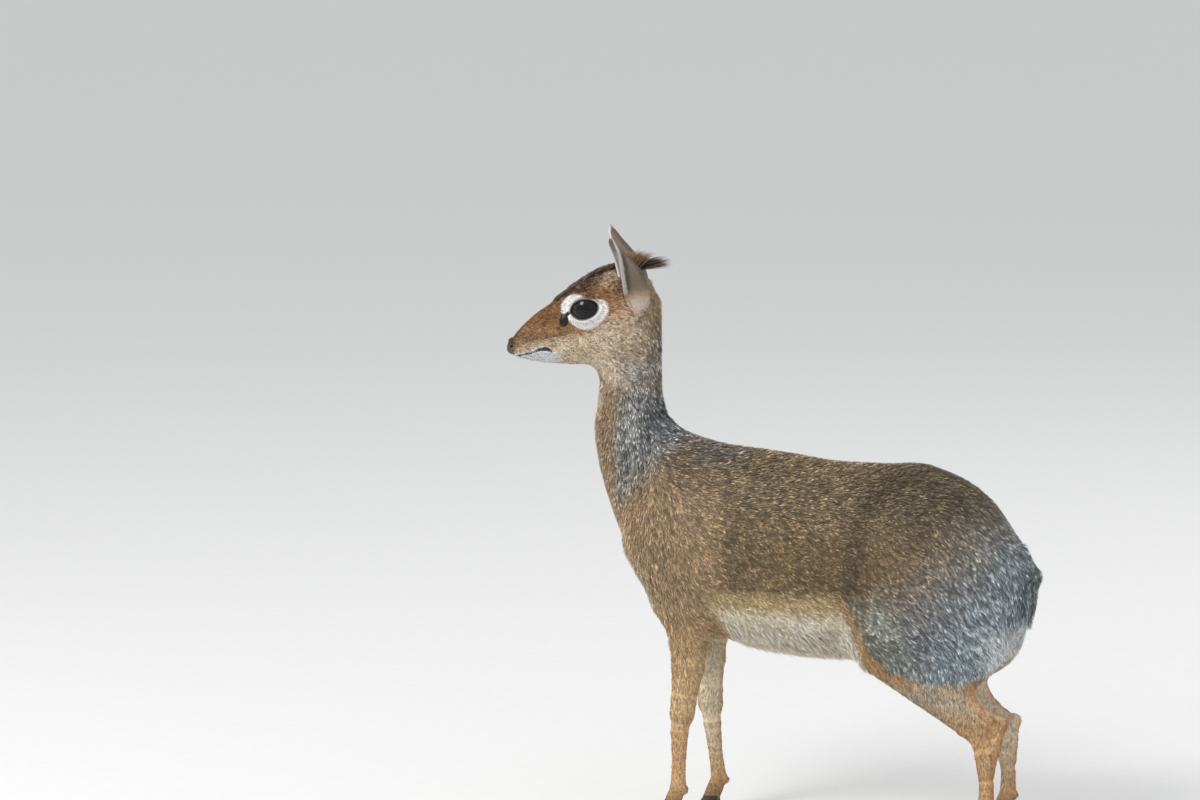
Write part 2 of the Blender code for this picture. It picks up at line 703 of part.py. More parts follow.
def crown_level(places, sideways):
    """Level of the head's skin above each place, in the head's axes."""
    low, high = np.full(len(places), -0.040), np.full(len(places), 0.040)
    for _ in range(18):
        middle = (low + high) / 2
        outside = head_field(out_of_head(np.stack((places, sideways, middle), 1))) > 0
        low, high = np.where(outside, low, middle), np.where(outside, middle, high)
    return (low + high) / 2


def lock(name, root, sideways, rise, length, bend, width):
    """A flat tapering lock of hair, bending down towards its tip, with its root inside the skin."""
    place = np.array(root)
    rings = []
    for step in range(LOCK_STEPS + 1):
        t = step / LOCK_STEPS
        tilt = math.radians(rise - bend * t)
        heading = np.array((-math.cos(tilt), sideways, math.sin(tilt)))
        heading = heading / np.linalg.norm(heading)
        across = np.array((0.0, 1.0, 0.0)) - heading * heading[1]
        across = across / np.linalg.norm(across)
        lift = np.cross(heading, across)
        if step == 0:
            place = place - heading * LOCK_ROOT
        half = width / 2 * (0.9 + 0.5 * t - 1.30 * t**2)
        half = max(half, 0.00035)
        thick = max(half * LOCK_FLATNESS, 0.0003)
        ring = [place + across * half, place + lift * thick, place - across * half, place - lift * thick]
        rings.append(out_of_head(ring))
        place = place + heading * (length + LOCK_ROOT) / LOCK_STEPS
    return shell(name, rings)


def crest(seed):
    """The locks of the crest: a short ridge up the forehead, a raised tuft, and a few that lie back."""
    draw = random.Random(seed)
    locks = []
    for kind, count, first, last, spread, short, long, steep, flat, bend, width in CREST:
        share = np.arange(count) / (count - 1)
        places = first + (last - first) * share
        sideways = np.array([spread * (2 * ((i * 0.618) % 1) - 1) for i in range(count)])
        levels = crown_level(places, sideways)
        for i in range(count):
            root = (places[i], sideways[i], levels[i])
            length = (short + (long - short) * share[i]) * draw.uniform(0.85, 1.1)
            rise = steep + (flat - steep) * share[i] + draw.uniform(-7, 7)
            lean = sideways[i] * 30 + draw.uniform(-0.06, 0.06)
            locks.append(lock(kind, root, lean, rise, length, bend, width * draw.uniform(0.85, 1.15)))
    return locks


def make_head(coat):
    """Head with lids, lips, nostrils and the sockets of the eyes."""
    head = flesh("head", (-0.300, -0.105, 0.415), (-0.105, 0.060, 0.568), 0.0021, HEAD_TRIANGLES,
                 [(NECK_TOP_PLACE + NECK_TOP_NORMAL * GAP / 2, -NECK_TOP_NORMAL)], coat)
    cuts = [mouth_cut("mouth")]
    for side in (LEFT, RIGHT):
        cuts.append(nostril("nostril", side))
        centre = out_of_head(eye_frame(side)[0])
        cuts.append(ball("socket", centre, EYE_RADIUS + GAP, 11, 18))
    boolean(head, crest(CREST_SEED), "UNION")
    boolean(head, cuts, "DIFFERENCE")
    return head


def make_eye(name, side, material):
    centre = out_of_head(eye_frame(side)[0])
    return ball(name, centre, EYE_RADIUS, 11, 18, material)


def ear_row(side, at):
    """Middle of the rims, width, depth and heading of the ear's cup at one height of it, in the head's axes."""
    place, out, up, half, depth, heading = (float(along(EAR, column, np.array([at]))[0]) for column in range(1, 7))
    turn = math.radians(heading)
    opening = np.array((math.cos(turn), side * math.sin(turn), 0.0))
    chord = np.array((-math.sin(turn), side * math.cos(turn), 0.0))
    return np.array((place, side * out, up)), half, depth, opening, chord


def make_ear(name, side, head, material):
    """A leaf rolled into a cup that opens forward, with an outer and an inner skin."""
    outer, inner = [], []
    for row in range(EAR_ROWS + 1):
        at = EAR[0][0] + (EAR[-1][0] - EAR[0][0]) * row / EAR_ROWS
        middle, half, depth, opening, chord = ear_row(side, at)
        wall = EAR_WALL * (1 - 0.35 * max(at, 0))
        out_row, in_row = [], []
        for column in range(EAR_COLUMNS + 1):
            u = 2 * column / EAR_COLUMNS - 1
            sag = 1 - abs(u) ** 2.4
            out_row.append(middle - opening * depth * sag + chord * half * u)
            thin = wall * (0.35 + 0.65 * sag)
            toward = opening * (0.35 + 0.65 * sag) - chord * u * (1 - sag)
            toward = toward / np.linalg.norm(toward)
            in_row.append(out_row[-1] + toward * min(thin, half * 0.7))
        outer.append(out_row)
        inner.append(in_row)
    rings = [out_of_head(out_row + in_row[::-1]) for out_row, in_row in zip(outer, inner)]
    ear = shell(name, rings, material)
    boolean(ear, [puffed_copy(head, 2 * GAP)], "DIFFERENCE")
    return ear


def make_tail(torso, material):
    """The short tail, a flat cone of hair hanging close to the rump."""
    def field(points):
        dock = bone(points, TAIL_ROOT, TAIL_MIDDLE, 0.0100, 0.0115, 1.2)
        return melt(dock, bone(points, TAIL_MIDDLE, TAIL_TIP, 0.0115, 0.0045, 1.2), 0.006)
    points, quads = surface_net(field, (0.22, -0.03, 0.16), (0.29, 0.03, 0.29), 0.004)
    tail = new_object("tail", settle(field, points), quads, material)
    thin_out(tail, TAIL_TRIANGLES)
    boolean(tail, [puffed_copy(torso, GAP)], "DIFFERENCE")
    return tail


def make_claw(name, middle, side, material):
    """One half of a cloven hoof: flat sole, pointed toe, straight inner wall."""
    rings = []
    for level, length, width, shift in CLAW_LEVELS:
        ring = []
        for along_foot, across in CLAW_OUTLINE:
            x = middle[0] + shift + along_foot * length / 2
            y = middle[1] + side * (CLEFT / 2 + across * width)
            ring.append((x, y, FLOOR + level))
        rings.append(ring)
    return shell(name, rings, material)


def box(name, low, high):
    corners = [[(x, y, z) for x, y in ((low[0], low[1]), (high[0], low[1]), (high[0], high[1]), (low[0], high[1]))]
               for z in (low[2], high[2])]
    return shell(name, corners)


def hind_wedge():
    """Everything below the slanted level at which the hind legs part from the torso."""
    def level(x):
        return HIND_CUT_LEVEL + HIND_CUT_SLOPE * (x - HIND_CUT_START) + GAP / 2
    ends = []
    for x in (HIND_CUT_START - 0.02, 0.32):
        ends.append([(x, -0.2, -0.05), (x, 0.2, -0.05), (x, 0.2, level(x)), (x, -0.2, level(x))])
    return shell("below_hips", ends)


def make_torso(coat):
    torso = flesh("torso", (-0.215, -0.110, 0.115), (0.290, 0.110, 0.400), 0.0075, TORSO_TRIANGLES,
                  [(NECK_FOOT_PLACE - NECK_FOOT_NORMAL * GAP / 2, NECK_FOOT_NORMAL)], coat)
    below = [hind_wedge(), box("below_elbows", (-0.140, -0.1, FLOOR), (-0.0535, 0.1, FORE_CUT_LEVEL + GAP / 2))]
    boolean(torso, below, "DIFFERENCE")
    return torso


def make_neck(coat):
    planes = [(NECK_FOOT_PLACE + NECK_FOOT_NORMAL * GAP / 2, -NECK_FOOT_NORMAL),
              (NECK_TOP_PLACE - NECK_TOP_NORMAL * GAP / 2, NECK_TOP_NORMAL)]
    return flesh("neck", (-0.215, -0.070, 0.345), (-0.090, 0.070, 0.515), 0.0055, NECK_TRIANGLES, planes, coat)


def make_legs(coat, horn):
    """Four legs with two claws each."""
    coronet = ((0, 0, CORONET_LEVEL + GAP / 2), (0, 0, -1))
    elbow = ((0, 0, FORE_CUT_LEVEL - GAP / 2), (0, 0, 1))
    slope = np.array((-HIND_CUT_SLOPE, 0.0, 1.0)) / math.hypot(1, HIND_CUT_SLOPE)
    hip = ((HIND_CUT_START, 0.0, HIND_CUT_LEVEL - GAP / 2), slope)
    kinds = (("fore", fore_leg, (-0.150, -0.045), elbow, 0.180),
             ("hind", hind_leg, (0.050, 0.270), hip, 0.175))
    for kind, joints, span, top, high in kinds:
        for word, side in (("left", LEFT), ("right", RIGHT)):
            low_y, high_y = sorted((0.0, side * 0.085))
            name = "leg_" + kind + "_" + word
            flesh(name, (span[0], low_y, FLOOR + 0.004), (span[1], high_y, high), 0.0038, LEG_TRIANGLES,
                  [coronet, top], coat)
            for place, out in (("inner", -side), ("outer", side)):
                make_claw("claw_" + kind + "_" + word + "_" + place, foot(side, joints), out, horn)


def rest_on_floor():
    """Moves everything so that the box around it has its bottom centre at the origin."""
    points = np.concatenate([np.array([v.co[:] for v in obj.data.vertices]) for obj in bpy.data.objects])
    low, high = points.min(0), points.max(0)
    shift = Vector((-(low[0] + high[0]) / 2, -(low[1] + high[1]) / 2, -low[2]))
    for obj in bpy.data.objects:
        obj.data.transform(Matrix.Translation(shift))
    return shift


def main():
    for obj in list(bpy.data.objects):
        bpy.data.objects.remove(obj)
    coat = paint("coat", (0.30, 0.22, 0.15), 0.9)
    horn = paint("horn", (0.03, 0.028, 0.026), 0.5)
    wet = paint("eye", (0.012, 0.009, 0.008), 0.08)
    head = make_head(coat)
    make_neck(coat)
    torso = make_torso(coat)
    make_tail(torso, coat)
    make_legs(coat, horn)
    for word, side in (("left", LEFT), ("right", RIGHT)):
        make_ear("ear_" + word, side, head, coat)
        make_eye("eye_" + word, side, wet)
    for obj in bpy.data.objects:
        finish(obj)
    return rest_on_floor()


SHIFT = main()
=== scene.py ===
# %% [markdown]
# # A dik-dik, dressed in her coat
# A dik-dik is an antelope no taller than a hare on tiptoe. This lesson takes a measured solid model of one,
# standing still, and gives it what makes the living animal: skin, a ticked coat that lies in its own
# directions, wet eyes in white rings, cupped ears, a crest and small black hooves.
# The solids come in first and stay fixed. Their box is kept, because the dressed animal may not outgrow it.

# %% Load the frame and keep its box
import math
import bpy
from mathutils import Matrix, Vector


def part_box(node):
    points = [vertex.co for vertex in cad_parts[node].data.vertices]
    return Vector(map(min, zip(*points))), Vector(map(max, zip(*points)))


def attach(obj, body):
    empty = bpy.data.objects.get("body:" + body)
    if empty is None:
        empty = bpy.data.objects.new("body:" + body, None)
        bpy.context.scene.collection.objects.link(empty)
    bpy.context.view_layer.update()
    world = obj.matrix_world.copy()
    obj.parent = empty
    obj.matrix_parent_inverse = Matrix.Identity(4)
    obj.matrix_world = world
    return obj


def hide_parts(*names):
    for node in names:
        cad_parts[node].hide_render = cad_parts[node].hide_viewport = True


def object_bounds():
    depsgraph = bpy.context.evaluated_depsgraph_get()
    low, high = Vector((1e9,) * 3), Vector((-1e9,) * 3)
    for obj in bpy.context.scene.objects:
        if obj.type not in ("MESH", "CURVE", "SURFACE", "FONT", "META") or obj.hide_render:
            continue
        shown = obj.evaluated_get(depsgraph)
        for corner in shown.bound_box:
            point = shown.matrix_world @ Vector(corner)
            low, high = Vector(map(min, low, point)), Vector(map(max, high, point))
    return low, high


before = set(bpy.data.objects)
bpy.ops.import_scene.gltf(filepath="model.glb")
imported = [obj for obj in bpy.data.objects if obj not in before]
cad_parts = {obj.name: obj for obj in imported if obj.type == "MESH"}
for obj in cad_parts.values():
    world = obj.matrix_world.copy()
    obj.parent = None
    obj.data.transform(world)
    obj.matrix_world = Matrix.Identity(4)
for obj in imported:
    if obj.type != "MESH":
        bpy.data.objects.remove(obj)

from types import SimpleNamespace

import bmesh
import bpy
import numpy as np
from mathutils import Vector

CAD_LOW, CAD_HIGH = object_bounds()
print("nodes:", len(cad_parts), "box:", [round(v, 4) for v in CAD_HIGH - CAD_LOW])

# %% [markdown]
# ## Where the body's own measures sit
# Every measure below is given in the body's own frame: +Z up, nose towards -X, her left side towards -Y.
# The frame stands a little aside, so one known point is found in both: the middle of the left eyeball.
# The head has axes of its own, because she looks a little to her left.

# %% The head's axes and the shift between the frames
LEFT, RIGHT = -1, 1
SIDES = (("left", LEFT), ("right", RIGHT))
TINY = 1e-9
HEAD_ORIGIN = np.array((-0.1556, 0.0, 0.5108))
HEAD_TURN = math.radians(18)
HEAD_ROLL = math.radians(3)
EYE_PLACE = (0.0457, 0.0206, -0.0155)  # forward, right and up in the head
EYE_RADIUS = 0.0160


def head_axes():
    """Rows: forward, right and up of the head, turned to her left and rolled a little that way."""
    forward = np.array((-math.cos(HEAD_TURN), -math.sin(HEAD_TURN), 0.0))
    right = np.array((-math.sin(HEAD_TURN), math.cos(HEAD_TURN), 0.0))
    up = np.array((0.0, 0.0, 1.0))
    c, s = math.cos(HEAD_ROLL), math.sin(HEAD_ROLL)
    return np.array((forward, right * c + up * s, up * c - right * s))


HEAD_AXES = head_axes()


def into_head(points):
    return (points - HEAD_ORIGIN) @ HEAD_AXES.T


def out_of_head(points):
    return np.asarray(points) @ HEAD_AXES + HEAD_ORIGIN


eye_low, eye_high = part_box("eye_left")
eye_middle = out_of_head((EYE_PLACE[0], LEFT * EYE_PLACE[1], EYE_PLACE[2]))
SHIFT = np.array((eye_low + eye_high) / 2) - eye_middle
FLOOR = -SHIFT[2]
print("shift to the frame:", np.round(SHIFT, 5), "floor in the body's frame:", round(FLOOR, 4))

# %% [markdown]
# ## The camera
# She was seen from a few metres off, a little above, with her hindquarters nearer than her head.
# A long lens 6 m away keeps her as flat as she looked. The camera aims beside her, at the middle of the
# picture, so that she stands right of the middle as she did.

# %% Camera
VIEW_AZIMUTH, VIEW_ELEVATION = math.radians(18), math.radians(6.5)
VIEW_DISTANCE, VIEW_WIDTH = 6.0, 1.2
VIEW_ASIDE, VIEW_ABOVE = -0.180, 0.403
SENSOR = 36.0


def add_object(name, data):
    """A new object with this data, in the scene."""
    obj = bpy.data.objects.new(name, data)
    bpy.context.scene.collection.objects.link(obj)
    return obj


def view_axes():
    """Right, up and backward of the camera."""
    ca, sa = math.cos(VIEW_AZIMUTH), math.sin(VIEW_AZIMUTH)
    ce, se = math.cos(VIEW_ELEVATION), math.sin(VIEW_ELEVATION)
    return Vector((ca, sa, 0)), Vector((-se * sa, se * ca, ce)), Vector((sa * ce, -ca * ce, se))


def make_camera():
    right, up, back = view_axes()
    lens = bpy.data.cameras.new("camera")
    lens.sensor_width = SENSOR
    lens.lens = SENSOR * VIEW_DISTANCE / VIEW_WIDTH
    camera = add_object("camera", lens)
    camera.location = Vector(SHIFT) + right * VIEW_ASIDE + up * VIEW_ABOVE + back * VIEW_DISTANCE
    camera.rotation_mode = "QUATERNION"
    camera.rotation_quaternion = back.to_track_quat("Z", "Y")
    bpy.context.scene.camera = camera
    return camera


camera = make_camera()
print("camera at", [round(v, 3) for v in camera.location])

# %% [markdown]
# ## Floor and light
# A museum model is looked at in soft light. One wide lamp hangs high on the viewer's side, a weaker one
# fills from the front of the animal, one lights her back, and a pale sky does the rest. The floor is a
# wide pale disc, with a little grain so that it isn't a flat colour.

# %% Floor, lamps and sky
FLOOR_RADIUS = 30.0
FLOOR_TONE = (0.75, 0.745, 0.73)
FLOOR_SHADES = (0.97, 1.03)  # the darkest and the lightest grain
FLOOR_GRAIN = 60.0
FLOOR_GAP = 0.0005  # so that the soles and the floor don't flicker in one plane
SKY_TONE = (0.93, 0.95, 0.97)
SKY_STRENGTH = 0.80
LAMP_AIM_HEIGHT = 0.30
# Lamps: name, place, width, power
LAMPS = (
    ("lamp_key", (-1.4, -2.8, 3.0), 1.5, 92.0),
    ("lamp_front", (-3.2, -0.6, 1.3), 1.8, 16.0),
    ("lamp_back", (1.8, 2.4, 2.6), 2.0, 34.0),
)


def set_inputs(node, values):
    """Sets a node's own sockets."""
    for name, value in values.items():
        node.inputs[name].default_value = value


def plain_material(name, color, settings):
    """A Principled material with one colour and these settings, its shader and its node tree."""
    material = bpy.data.materials.new(name)
    material.use_nodes = True
    tree = material.node_tree
    shader = tree.nodes["Principled BSDF"]
    set_inputs(shader, {"Base Color": (*color, 1.0), **settings})
    return material, shader, tree


def add_noise(tree, scale, detail, roughness=0.5):
    """A noise texture in the object's own coordinates."""
    noise = tree.nodes.new("ShaderNodeTexNoise")
    set_inputs(noise, {"Scale": scale, "Detail": detail, "Roughness": roughness})
    place = tree.nodes.new("ShaderNodeTexCoord")
    tree.links.new(place.outputs["Object"], noise.inputs["Vector"])
    return noise


def add_bump(tree, shader, height, strength, distance):
    bump = tree.nodes.new("ShaderNodeBump")
    set_inputs(bump, {"Strength": strength, "Distance": distance})
    tree.links.new(height, bump.inputs["Height"])
    tree.links.new(bump.outputs["Normal"], shader.inputs["Normal"])
    return bump


def shade_color(tree, shader, factor, color, shades):
    """Colours a material between the darkest and the lightest shade of a colour, by a factor."""
    tones = tree.nodes.new("ShaderNodeValToRGB")
    for element, shade in zip(tones.color_ramp.elements, shades):
        element.color = (*(v * shade for v in color), 1)
    tree.links.new(factor, tones.inputs["Fac"])
    tree.links.new(tones.outputs["Color"], shader.inputs["Base Color"])


def make_floor():
    material, shader, tree = plain_material("floor_paint", FLOOR_TONE, {"Roughness": 0.9})
    grain = add_noise(tree, FLOOR_GRAIN, 3.0)
    shade_color(tree, shader, grain.outputs["Fac"], FLOOR_TONE, FLOOR_SHADES)
    mesh = bpy.data.meshes.new("floor")
    form = bmesh.new()
    bmesh.ops.create_circle(form, cap_ends=True, radius=FLOOR_RADIUS, segments=96)
    form.to_mesh(mesh)
    form.free()
    mesh.materials.append(material)
    floor = add_object("floor", mesh)
    floor.location.z = CAD_LOW.z - FLOOR_GAP
    return floor


def make_lamps():
    aim = Vector(((CAD_LOW.x + CAD_HIGH.x) / 2, 0.0, LAMP_AIM_HEIGHT))
    for name, place, width, power in LAMPS:
        lamp = bpy.data.lights.new(name, "AREA")
        lamp.size = width
        lamp.energy = power
        obj = add_object(name, lamp)
        obj.location = place
        obj.rotation_mode = "QUATERNION"
        obj.rotation_quaternion = (Vector(place) - aim).to_track_quat("Z", "Y")


def make_sky():
    sky = bpy.data.worlds.new("sky")
    sky.use_nodes = True
    sky.node_tree.nodes["Background"].inputs["Color"].default_value = (*SKY_TONE, 1)
    sky.node_tree.nodes["Background"].inputs["Strength"].default_value = SKY_STRENGTH
    bpy.context.scene.world = sky


bpy.context.scene.view_settings.view_transform = "Standard"
make_floor()
make_lamps()
make_sky()
print("lamps:", [name for name, *_ in LAMPS])

# %% [markdown]
# ## Forms that can melt together
# A body has no joints where a leg becomes a shoulder. Sculpting it by hand would work, but numbers keep
# it true to the solids: each form is a signed distance, negative inside, and a smooth minimum lets one
# form flow into the next. The skin is later drawn where the sum of all of them is zero.

# %% Distance forms
def along(stations, column, at):
    """One column of a station table, read along a smooth curve through its rows."""
    places = np.array([row[0] for row in stations])
    values = np.array([row[column] for row in stations])
    slopes = np.gradient(values, places)
    i = np.clip(np.searchsorted(places, at) - 1, 0, len(places) - 2)
    step = places[i + 1] - places[i]
    t = np.clip((at - places[i]) / step, 0, 1)
    rise = t * t * (3 - 2 * t)
    bend = t * (1 - t) ** 2 * slopes[i] - t * t * (1 - t) * slopes[i + 1]
    return values[i] + (values[i + 1] - values[i]) * rise + bend * step


def loft(place, across, height, stations, cap, power, low_power):
    """Signed distance, near the surface, to a form lofted along one axis through egg-shaped sections."""
    top, bottom, half, share = (along(stations, column, place) for column in (1, 2, 3, 4))
    middle = bottom + share * (top - bottom)
    offset = height - middle
    rise = np.abs(offset) / np.where(offset > 0, top - middle, middle - bottom)
    over = np.maximum(0, np.maximum(stations[0][0] - place, place - stations[-1][0]))
    shape = np.where(offset > 0, power, low_power)
    ring = ((np.abs(across) / half) ** shape + rise**shape) ** (1 / shape)
    size = np.sqrt(ring**2 + (over / cap) ** 2)
    reach = np.sqrt(across**2 + offset**2 + over**2)
    return (size - 1) * reach / np.maximum(size, TINY)


def bone(points, start, end, start_radius, end_radius, flat=1.0):
    """Signed distance to a tapered rod with round ends, flattened sideways by flat."""
    scale = np.array((1.0, 1.0 / flat, 1.0))
    p = (points - np.array(start)) * scale
    axis = (np.array(end) - np.array(start)) * scale
    length = np.linalg.norm(axis)
    axis = axis / length
    lean = (start_radius - end_radius) / length
    tilt = math.sqrt(max(0.0, 1 - lean * lean))
    run = p @ axis
    out = np.sqrt(np.maximum((p * p).sum(1) - run**2, 0))
    shifted = np.clip(run + out * lean / max(tilt, TINY), 0, length)
    radius = start_radius + (end_radius - start_radius) * shifted / length
    return (np.sqrt((run - shifted) ** 2 + out**2) - radius) * (0.5 + 0.5 * flat)


def egg(points, centre, radii, lean=0.0):
    """Signed distance, near the surface, to an ellipsoid leaned forward about the sideways axis."""
    p = points - np.array(centre)
    c, s = math.cos(lean), math.sin(lean)
    p = np.stack((p[:, 0] * c + p[:, 2] * s, p[:, 1], p[:, 2] * c - p[:, 0] * s), 1)
    near = np.linalg.norm(p / np.array(radii), axis=1)
    far = np.linalg.norm(p / np.array(radii) ** 2, axis=1)
    return near * (near - 1) / np.maximum(far, TINY)


def melt(a, b, blend):
    """Smooth union of two fields."""
    h = np.maximum(blend - np.abs(a - b), 0) / blend
    return np.minimum(a, b) - h * h * blend / 4


def carve(field, hole, blend):
    """Smooth difference: the field without the hole."""
    return -melt(-field, hole, blend)


def soft(low, high, value):
    """0 at low, 1 at high, smooth between them. Low may be the greater one."""
    t = np.clip((value - low) / (high - low), 0, 1)
    return t * t * (3 - 2 * t)


print("a ball of 1 m, read at (0.5, 0.5, 0.5):", egg(np.zeros((1, 3)) + 0.5, (0, 0, 0), (1, 1, 1)).round(3))

# %% [markdown]
# ## Trunk, neck and head
# The trunk is a row of egg-shaped sections from breast to rump, the neck another row from chest to
# throat, and the head a third along its own axis: nearly flat from crown to nose, with a narrow jaw.
# Cheeks, upper lips and the scent gland before each eye are small forms melted in.

# %% Tables of trunk, neck and head
# Trunk, coat included: place along X, back line, belly line, half width, share of height at the widest level
TRUNK = (
    (-0.120, 0.360, 0.195, 0.052, 0.48),
    (-0.095, 0.3640, 0.178, 0.057, 0.46),
    (-0.050, 0.3595, 0.163, 0.061, 0.45),
    (0.000, 0.3545, 0.154, 0.065, 0.45),
    (0.050, 0.3480, 0.1505, 0.067, 0.46),
    (0.105, 0.3468, 0.154, 0.068, 0.48),
    (0.150, 0.3465, 0.163, 0.069, 0.50),
    (0.180, 0.3345, 0.163, 0.067, 0.52),
    (0.205, 0.3160, 0.165, 0.061, 0.52),
    (0.228, 0.2900, 0.172, 0.053, 0.52),
    (0.242, 0.2715, 0.181, 0.045, 0.52),
    (0.252, 0.2520, 0.194, 0.032, 0.52),
)
TRUNK_CAP = 0.006
# Neck and breast: height, nape line, throat line, half width, share of depth at the widest place
NECK = (
    (0.205, -0.070, -0.127, 0.034, 0.50),
    (0.235, -0.070, -0.149, 0.041, 0.50),
    (0.270, -0.070, -0.1660, 0.046, 0.50),
    (0.305, -0.070, -0.1795, 0.048, 0.50),
    (0.340, -0.082, -0.1895, 0.046, 0.50),
    (0.3725, -0.112, -0.1935, 0.040, 0.50),
    (0.400, -0.1225, -0.1905, 0.033, 0.50),
    (0.433, -0.1245, -0.1885, 0.029, 0.50),
    (0.465, -0.1245, -0.184, 0.027, 0.50),
    (0.495, -0.127, -0.178, 0.026, 0.50),
)
NECK_CAP = 0.020
BODY_POWER = 2.2
NECK_BLEND = 0.040
# Head: place forward, crown line, jaw line, half width, share of height at the widest level
HEAD = (
    (-0.014, 0.012, -0.070, 0.027, 0.62),
    (0.000, 0.0215, -0.080, 0.031, 0.64),
    (0.015, 0.0240, -0.080, 0.033, 0.66),
    (0.030, 0.0205, -0.0765, 0.0325, 0.68),
    (0.045, 0.0140, -0.0755, 0.0310, 0.68),
    (0.060, 0.0040, -0.0755, 0.0270, 0.66),
    (0.072, -0.0055, -0.0750, 0.0225, 0.62),
    (0.084, -0.0150, -0.0740, 0.0185, 0.58),
    (0.096, -0.0235, -0.0725, 0.0155, 0.54),
    (0.106, -0.0325, -0.0705, 0.0135, 0.50),
    (0.114, -0.0410, -0.0680, 0.0120, 0.46),
    (0.119, -0.0475, -0.0655, 0.0105, 0.44),
)
HEAD_CAP = 0.0065
HEAD_POWER = 2.1
JAW_POWER = 1.75
HEAD_BLEND = 0.020
GLAND_PLACE = (0.0680, 0.0205, -0.0285)
GLAND_RADII = (0.0047, 0.0065)
GLAND_LEVEL = -0.0274  # of its bare patch
# How far each form melts into what carries it
BLEND = {
    "eye": 0.006, "cheek": 0.018, "lip": 0.006, "gland": 0.004, "shoulder": 0.020, "fore": 0.016,
    "hind": 0.018, "haunch": 0.026, "thigh": 0.020, "knee": 0.020, "heel": 0.008, "sinew": 0.004,
    "dew_claw": 0.003, "dock": 0.006, "tail": 0.004, "lids": 0.005, "crease": 0.0022, "opening": 0.001,
    "lid_edge": 0.0014, "mouth": 0.0008, "wing": 0.0030, "nostril": 0.0008,
}
# Forms of the face: middle and radii of cheek and gland, ends and radii of the upper lip
CHEEK_PLACE, CHEEK_RADII = (0.026, 0.021, -0.044), (0.026, 0.0115, 0.022)
UPPER_LIP = ((0.113, 0.0055, -0.0615), (0.084, 0.0125, -0.0545), 0.0052, 0.0045)
GLAND_SWELL = (0.0055, 0.0045, 0.0065)
EYE_SWELL = 0.0011
NECK_FOOT_PLACE, NECK_FOOT_NORMAL = np.array((-0.150, 0.0, 0.368)), np.array((-0.1483, 0.0, 0.9889))


def fold_sides(points):
    """Both sides of the head laid onto her right side."""
    folded = points.copy()
    folded[:, 1] = np.abs(folded[:, 1])
    return folded


def ball_form(side):
    """Signed distance to the eyeball, from points laid onto her right side."""
    return np.linalg.norm(side - np.array(EYE_PLACE), axis=1) - EYE_RADIUS


def head_form(points):
    """The head under its fur, before lids, mouth and nostrils."""
    h = into_head(points)
    side = fold_sides(h)
    field = loft(h[:, 0], h[:, 1], h[:, 2], HEAD, HEAD_CAP, HEAD_POWER, JAW_POWER)
    field = melt(field, ball_form(side) - EYE_SWELL, BLEND["eye"])
    field = melt(field, egg(side, CHEEK_PLACE, CHEEK_RADII), BLEND["cheek"])
    field = melt(field, bone(side, *UPPER_LIP), BLEND["lip"])
    return melt(field, egg(side, GLAND_PLACE, GLAND_SWELL), BLEND["gland"])


print("crown above the head's origin:", along(HEAD, 1, np.array([0.015])), "m")

# %% [markdown]
# ## Legs and tail
# Each leg is a chain of tapered, flattened rods from joint to joint. A hind leg adds thigh, ham, knee
# and the point of the hock. The feet are not under one another: the left forefoot leads, and the right
# hock is bent a little more, as she stood. The tail is only a short dock that hangs against the rump.

# %% Chains for the legs
FORE_SPREAD, HIND_SPREAD = 0.034, 0.040
JOINT_BLEND = 0.0014  # small, so that a leg doesn't swell where two of its bones meet
# Muscles: middle, radii, lean forward
SHOULDER = ((-0.103, 0.034, 0.285), (0.038, 0.024, 0.056), -0.25)
THIGH = ((0.157, 0.036, 0.246), (0.074, 0.036, 0.084), 0.20)
HAM = ((0.197, 0.034, 0.200), (0.048, 0.029, 0.064), 0.10)
KNEE_BACK, KNEE_FRONT = (0.150, 0.222), (0.108, 0.184)  # along X and above the body's own zero
KNEE_SIZES = (0.046, 0.027, 0.62)  # radii at its back and front, flatness
DEW_CLAW_PLACE = (0.0073, 0.0042, -0.002)  # from the middle of the fetlock: behind, aside, up
DEW_CLAW_RADII = (0.0030, 0.0026, 0.0045)
TAIL_RADII, TAIL_FLATNESS = (0.0100, 0.0115, 0.0045), 1.2
TAIL_ROOT, TAIL_MIDDLE, TAIL_TIP = (0.2430, 0.0, 0.2640), (0.2545, 0.0, 0.2390), (0.2545, 0.0, 0.1930)


def fore_leg(side):
    """Joints of a foreleg from the shoulder down: place, radius fore and aft, flatness."""
    lean = 0.0 if side == LEFT else 1.0
    y = side * FORE_SPREAD
    return (
        ((-0.118, side * 0.037, 0.262), 0.034, 0.62),
        ((-0.090, side * 0.036, 0.196), 0.0275, 0.66),
        ((-0.0855, y, 0.168), 0.0225, 0.70),
        ((-0.0860 + 0.001 * lean, y, 0.140), 0.0180, 0.76),
        ((-0.0900 + 0.006 * lean, y, 0.108), 0.0136, 0.86),
        ((-0.0920 + 0.009 * lean, y, 0.092), 0.0132, 0.90),
        ((-0.0945 + 0.013 * lean, y, 0.074), 0.0096, 0.90),
        ((-0.0955 + 0.018 * lean, y, 0.040), 0.0074, 0.90),
        ((-0.0960 + 0.022 * lean, y, FLOOR + 0.032), 0.0086, 0.92),
        ((-0.1040 + 0.022 * lean, y, FLOOR + 0.012), 0.0088, 0.98),
    )


